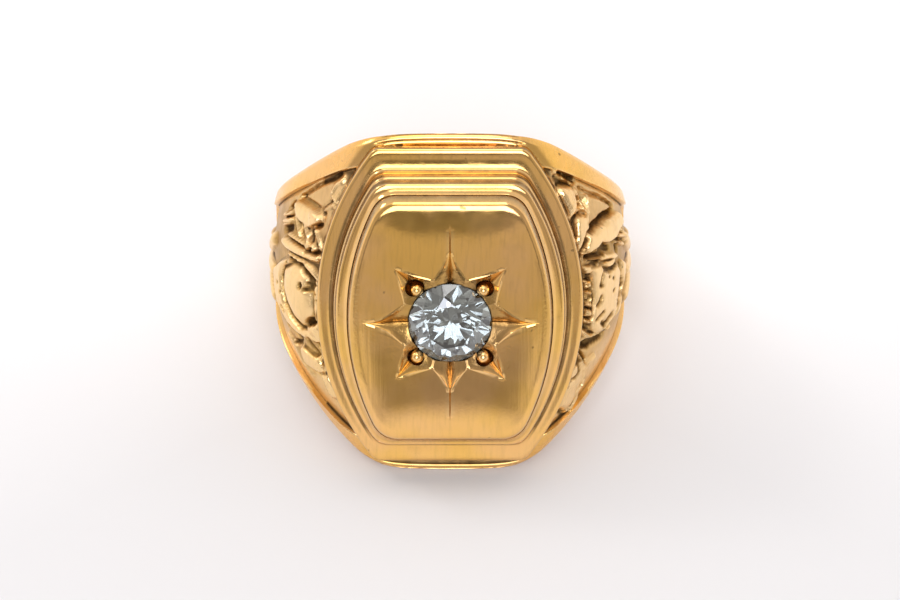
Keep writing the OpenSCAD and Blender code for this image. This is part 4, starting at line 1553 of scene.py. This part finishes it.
finish_piece(casting, gold, 50)
finish_piece(diamond, clear, 0)
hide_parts("ring_body")
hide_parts("diamond")
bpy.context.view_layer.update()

# %% [markdown]
# ## Floor, camera and light
# The ring lies on a plain pale floor, its colour painted a little darker in front than behind.
# The camera looks at the face from the photo's angle,
# 21 degrees above the face's normal, through a long lens. A mirror needs something dark to
# reflect, or it looks like paint. So the studio is dim in front with one bright window above,
# and well in front of the ring the floor's colour is painted dark in a narrow sector, a painted
# shadow such as a camera's stand would cast. The polished face shows that painted shadow as
# the brown of its lower half.

# %% Camera
PHOTO_RISE = math.radians(21)
CAMERA_FAR = 0.280
LENS = 177.0
AIM_DROP = 0.00349


def make_camera():
    """The camera looks along the photo's line of sight, and the ring lies leant back."""
    rise = PHOTO_RISE + LEAN
    back = Vector((0, -math.cos(rise), math.sin(rise)))
    up = Vector((0, math.sin(rise), math.cos(rise)))
    data = bpy.data.cameras.new("camera")
    data.lens = LENS
    data.sensor_width = 36
    data.clip_start = 0.01
    data.clip_end = 20
    camera = bpy.data.objects.new("camera", data)
    bpy.context.scene.collection.objects.link(camera)
    right = Vector((1, 0, 0))
    place = back * CAMERA_FAR - up * AIM_DROP
    turn = Matrix((right, up, back)).transposed().to_4x4()
    camera.matrix_world = Matrix.Translation(place) @ turn
    bpy.context.scene.camera = camera
    return camera


camera = make_camera()
print("camera", round(math.degrees(PHOTO_RISE + LEAN), 1), "degrees above the floor")

# %% Floor
# the floor's colours: paler behind and darker in front, which is painted shade, and SHADED, a painted
# shadow in a sector well in front
PALE_FRONT = (0.80, 0.80, 0.81, 1)
PALE_BEHIND = (0.95, 0.95, 0.96, 1)
SHADED = (0.23, 0.215, 0.21, 1)
SECTOR = (-0.950, -0.983)
SHADE_FROM = (0.042, 0.075)
BEHIND = (-0.6, 0.2)
OFF_CENTRE = (0.001, 0.02)


def make_floor():
    """Pale paper, painted darker in front than behind, with a painted shadow in a narrow sector well in
    front. Headings are told by their Y, which is -1 straight towards the camera.
    """
    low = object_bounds()[0][2]
    bpy.ops.object.select_all(action="DESELECT")
    bpy.ops.mesh.primitive_plane_add(size=3, location=(0, 0, low - 0.00002))
    floor = take_new("floor")
    paint, tree, shader = new_material("floor")
    coords = node(tree, "ShaderNodeTexCoord").outputs["Object"]
    away = node(tree, "ShaderNodeVectorMath", operation="LENGTH")
    tree.links.new(coords, away.inputs[0])
    heading = node(tree, "ShaderNodeVectorMath", operation="NORMALIZE")
    tree.links.new(coords, heading.inputs[0])
    ahead = node(tree, "ShaderNodeSeparateXYZ")
    tree.links.new(heading.outputs[0], ahead.inputs[0])
    # a painted shadow in a narrow sector well in front, and painted shade that darkens the floor in front
    shade = math_node(tree, "MULTIPLY", ranged(tree, away.outputs["Value"], *SHADE_FROM, 0, 1),
                      ranged(tree, ahead.outputs["Y"], *SECTOR, 0, 1))
    behind = math_node(tree, "MULTIPLY", ranged(tree, ahead.outputs["Y"], *BEHIND, 0, 1),
                       ranged(tree, away.outputs["Value"], *OFF_CENTRE, 0, 1))
    paper = mixed(tree, shade, mixed(tree, behind, PALE_FRONT, PALE_BEHIND), SHADED)
    tree.links.new(paper, shader.inputs["Base Color"])
    shader.inputs["Roughness"].default_value = 0.9
    floor.data.materials.append(paint)
    floor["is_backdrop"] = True
    return floor


floor = make_floor()
print("floor", [round(d, 2) for d in floor.dimensions[:2]], "m across")

# %% Studio light
WINDOW = 4.2
FRONT_STOPS = [
    (0.0, 0.52), (0.185, 0.60), (0.21, 0.24), (0.285, 0.20), (0.30, 0.04), (0.335, 0.04),
    (0.355, WINDOW), (0.80, WINDOW), (0.86, 0.7), (1.0, 0.8)]
SIDE_STOPS = [(0.0, 1.1), (0.30, 1.05), (0.45, 0.9), (0.8, 0.9), (1.0, 0.9)]
WALL_TINT = (1, 0.935, 0.88)
WINDOW_TINT = (0.96, 1.0, 1.12)
DARK_STRIP = (0.05, 0.045, 0.04, 1)
FRONT_ENDS = (-0.955, -0.905)
SIDES_FULL = (-0.45, -0.10)
STRIP_STARTS = (-0.93, -0.91)
STRIP_ENDS = (-0.88, -0.86)
STRIP_TOP = (0.36, 0.42)


def ramp_of(tree, stops):
    """A colour ramp over the sine of the elevation: cool in the window, warm elsewhere."""
    ramp = tree.nodes.new("ShaderNodeValToRGB")
    for i, (place, bright) in enumerate(stops):
        stop = ramp.color_ramp.elements[i] if i < 2 else ramp.color_ramp.elements.new(place)
        stop.position = place
        tint = WINDOW_TINT if bright == WINDOW else WALL_TINT
        stop.color = tuple(bright * part for part in tint) + (1,)
    return ramp


def make_world():
    """A studio: dim in front but for its window, brighter at the sides, and a dark strip between.

    Directions are told by their Y over the horizontal length, -1 straight in front.
    """
    world = bpy.context.scene.world or bpy.data.worlds.new("studio")
    bpy.context.scene.world = world
    world.use_nodes = True
    tree = world.node_tree
    tree.nodes.clear()
    link = tree.links.new
    out = node(tree, "ShaderNodeOutputWorld")
    back = node(tree, "ShaderNodeBackground")
    coords = node(tree, "ShaderNodeTexCoord")
    parts = node(tree, "ShaderNodeSeparateXYZ")
    link(coords.outputs["Generated"], parts.inputs[0])
    up = parts.outputs["Z"]
    front = ramp_of(tree, FRONT_STOPS)
    round_about = ramp_of(tree, SIDE_STOPS)
    link(up, front.inputs["Fac"])
    link(up, round_about.inputs["Fac"])
    level = math_node(tree, "SUBTRACT", 1.0001, math_node(tree, "POWER", up, 2.0))
    azimuth = math_node(tree, "DIVIDE", parts.outputs["Y"], math_node(tree, "SQRT", level))
    facing = ranged(tree, azimuth, *FRONT_ENDS, 0, 1, smooth=True)
    beside = ranged(tree, azimuth, *SIDES_FULL, 0.50, 1.0, smooth=True)
    sides = mixed(tree, beside, (0, 0, 0, 1), round_about.outputs["Color"])
    both = mixed(tree, facing, front.outputs["Color"], sides)
    strip = math_node(tree, "MULTIPLY", ranged(tree, azimuth, *STRIP_STARTS, 0, 1),
                      ranged(tree, azimuth, *STRIP_ENDS, 1, 0))
    strip = math_node(tree, "MULTIPLY", strip, ranged(tree, up, *STRIP_TOP, 0.6, 0))
    link(mixed(tree, strip, both, DARK_STRIP), back.inputs["Color"])
    link(back.outputs["Background"], out.inputs["Surface"])


def soft_box(name, place, aim, size, watts):
    """A rectangular lamp at a place, turned to its aim."""
    data = bpy.data.lights.new(name, "AREA")
    data.shape = "RECTANGLE"
    data.size, data.size_y = size
    data.energy = watts
    lamp = bpy.data.objects.new(name, data)
    bpy.context.scene.collection.objects.link(lamp)
    lamp.location = place
    lamp.rotation_euler = (Vector(aim) - Vector(place)).to_track_quat("-Z", "Y").to_euler()
    return lamp


make_world()
soft_box("overhead", (0, -0.01, 0.14), (0, 0, 0), (0.08, 0.06), 0.03)
soft_box("key", (-0.30, 0.12, 0.30), (0, 0, 0), (0.10, 0.10), 0.20)
bpy.context.scene.view_settings.view_transform = "Standard"
print("studio ready")
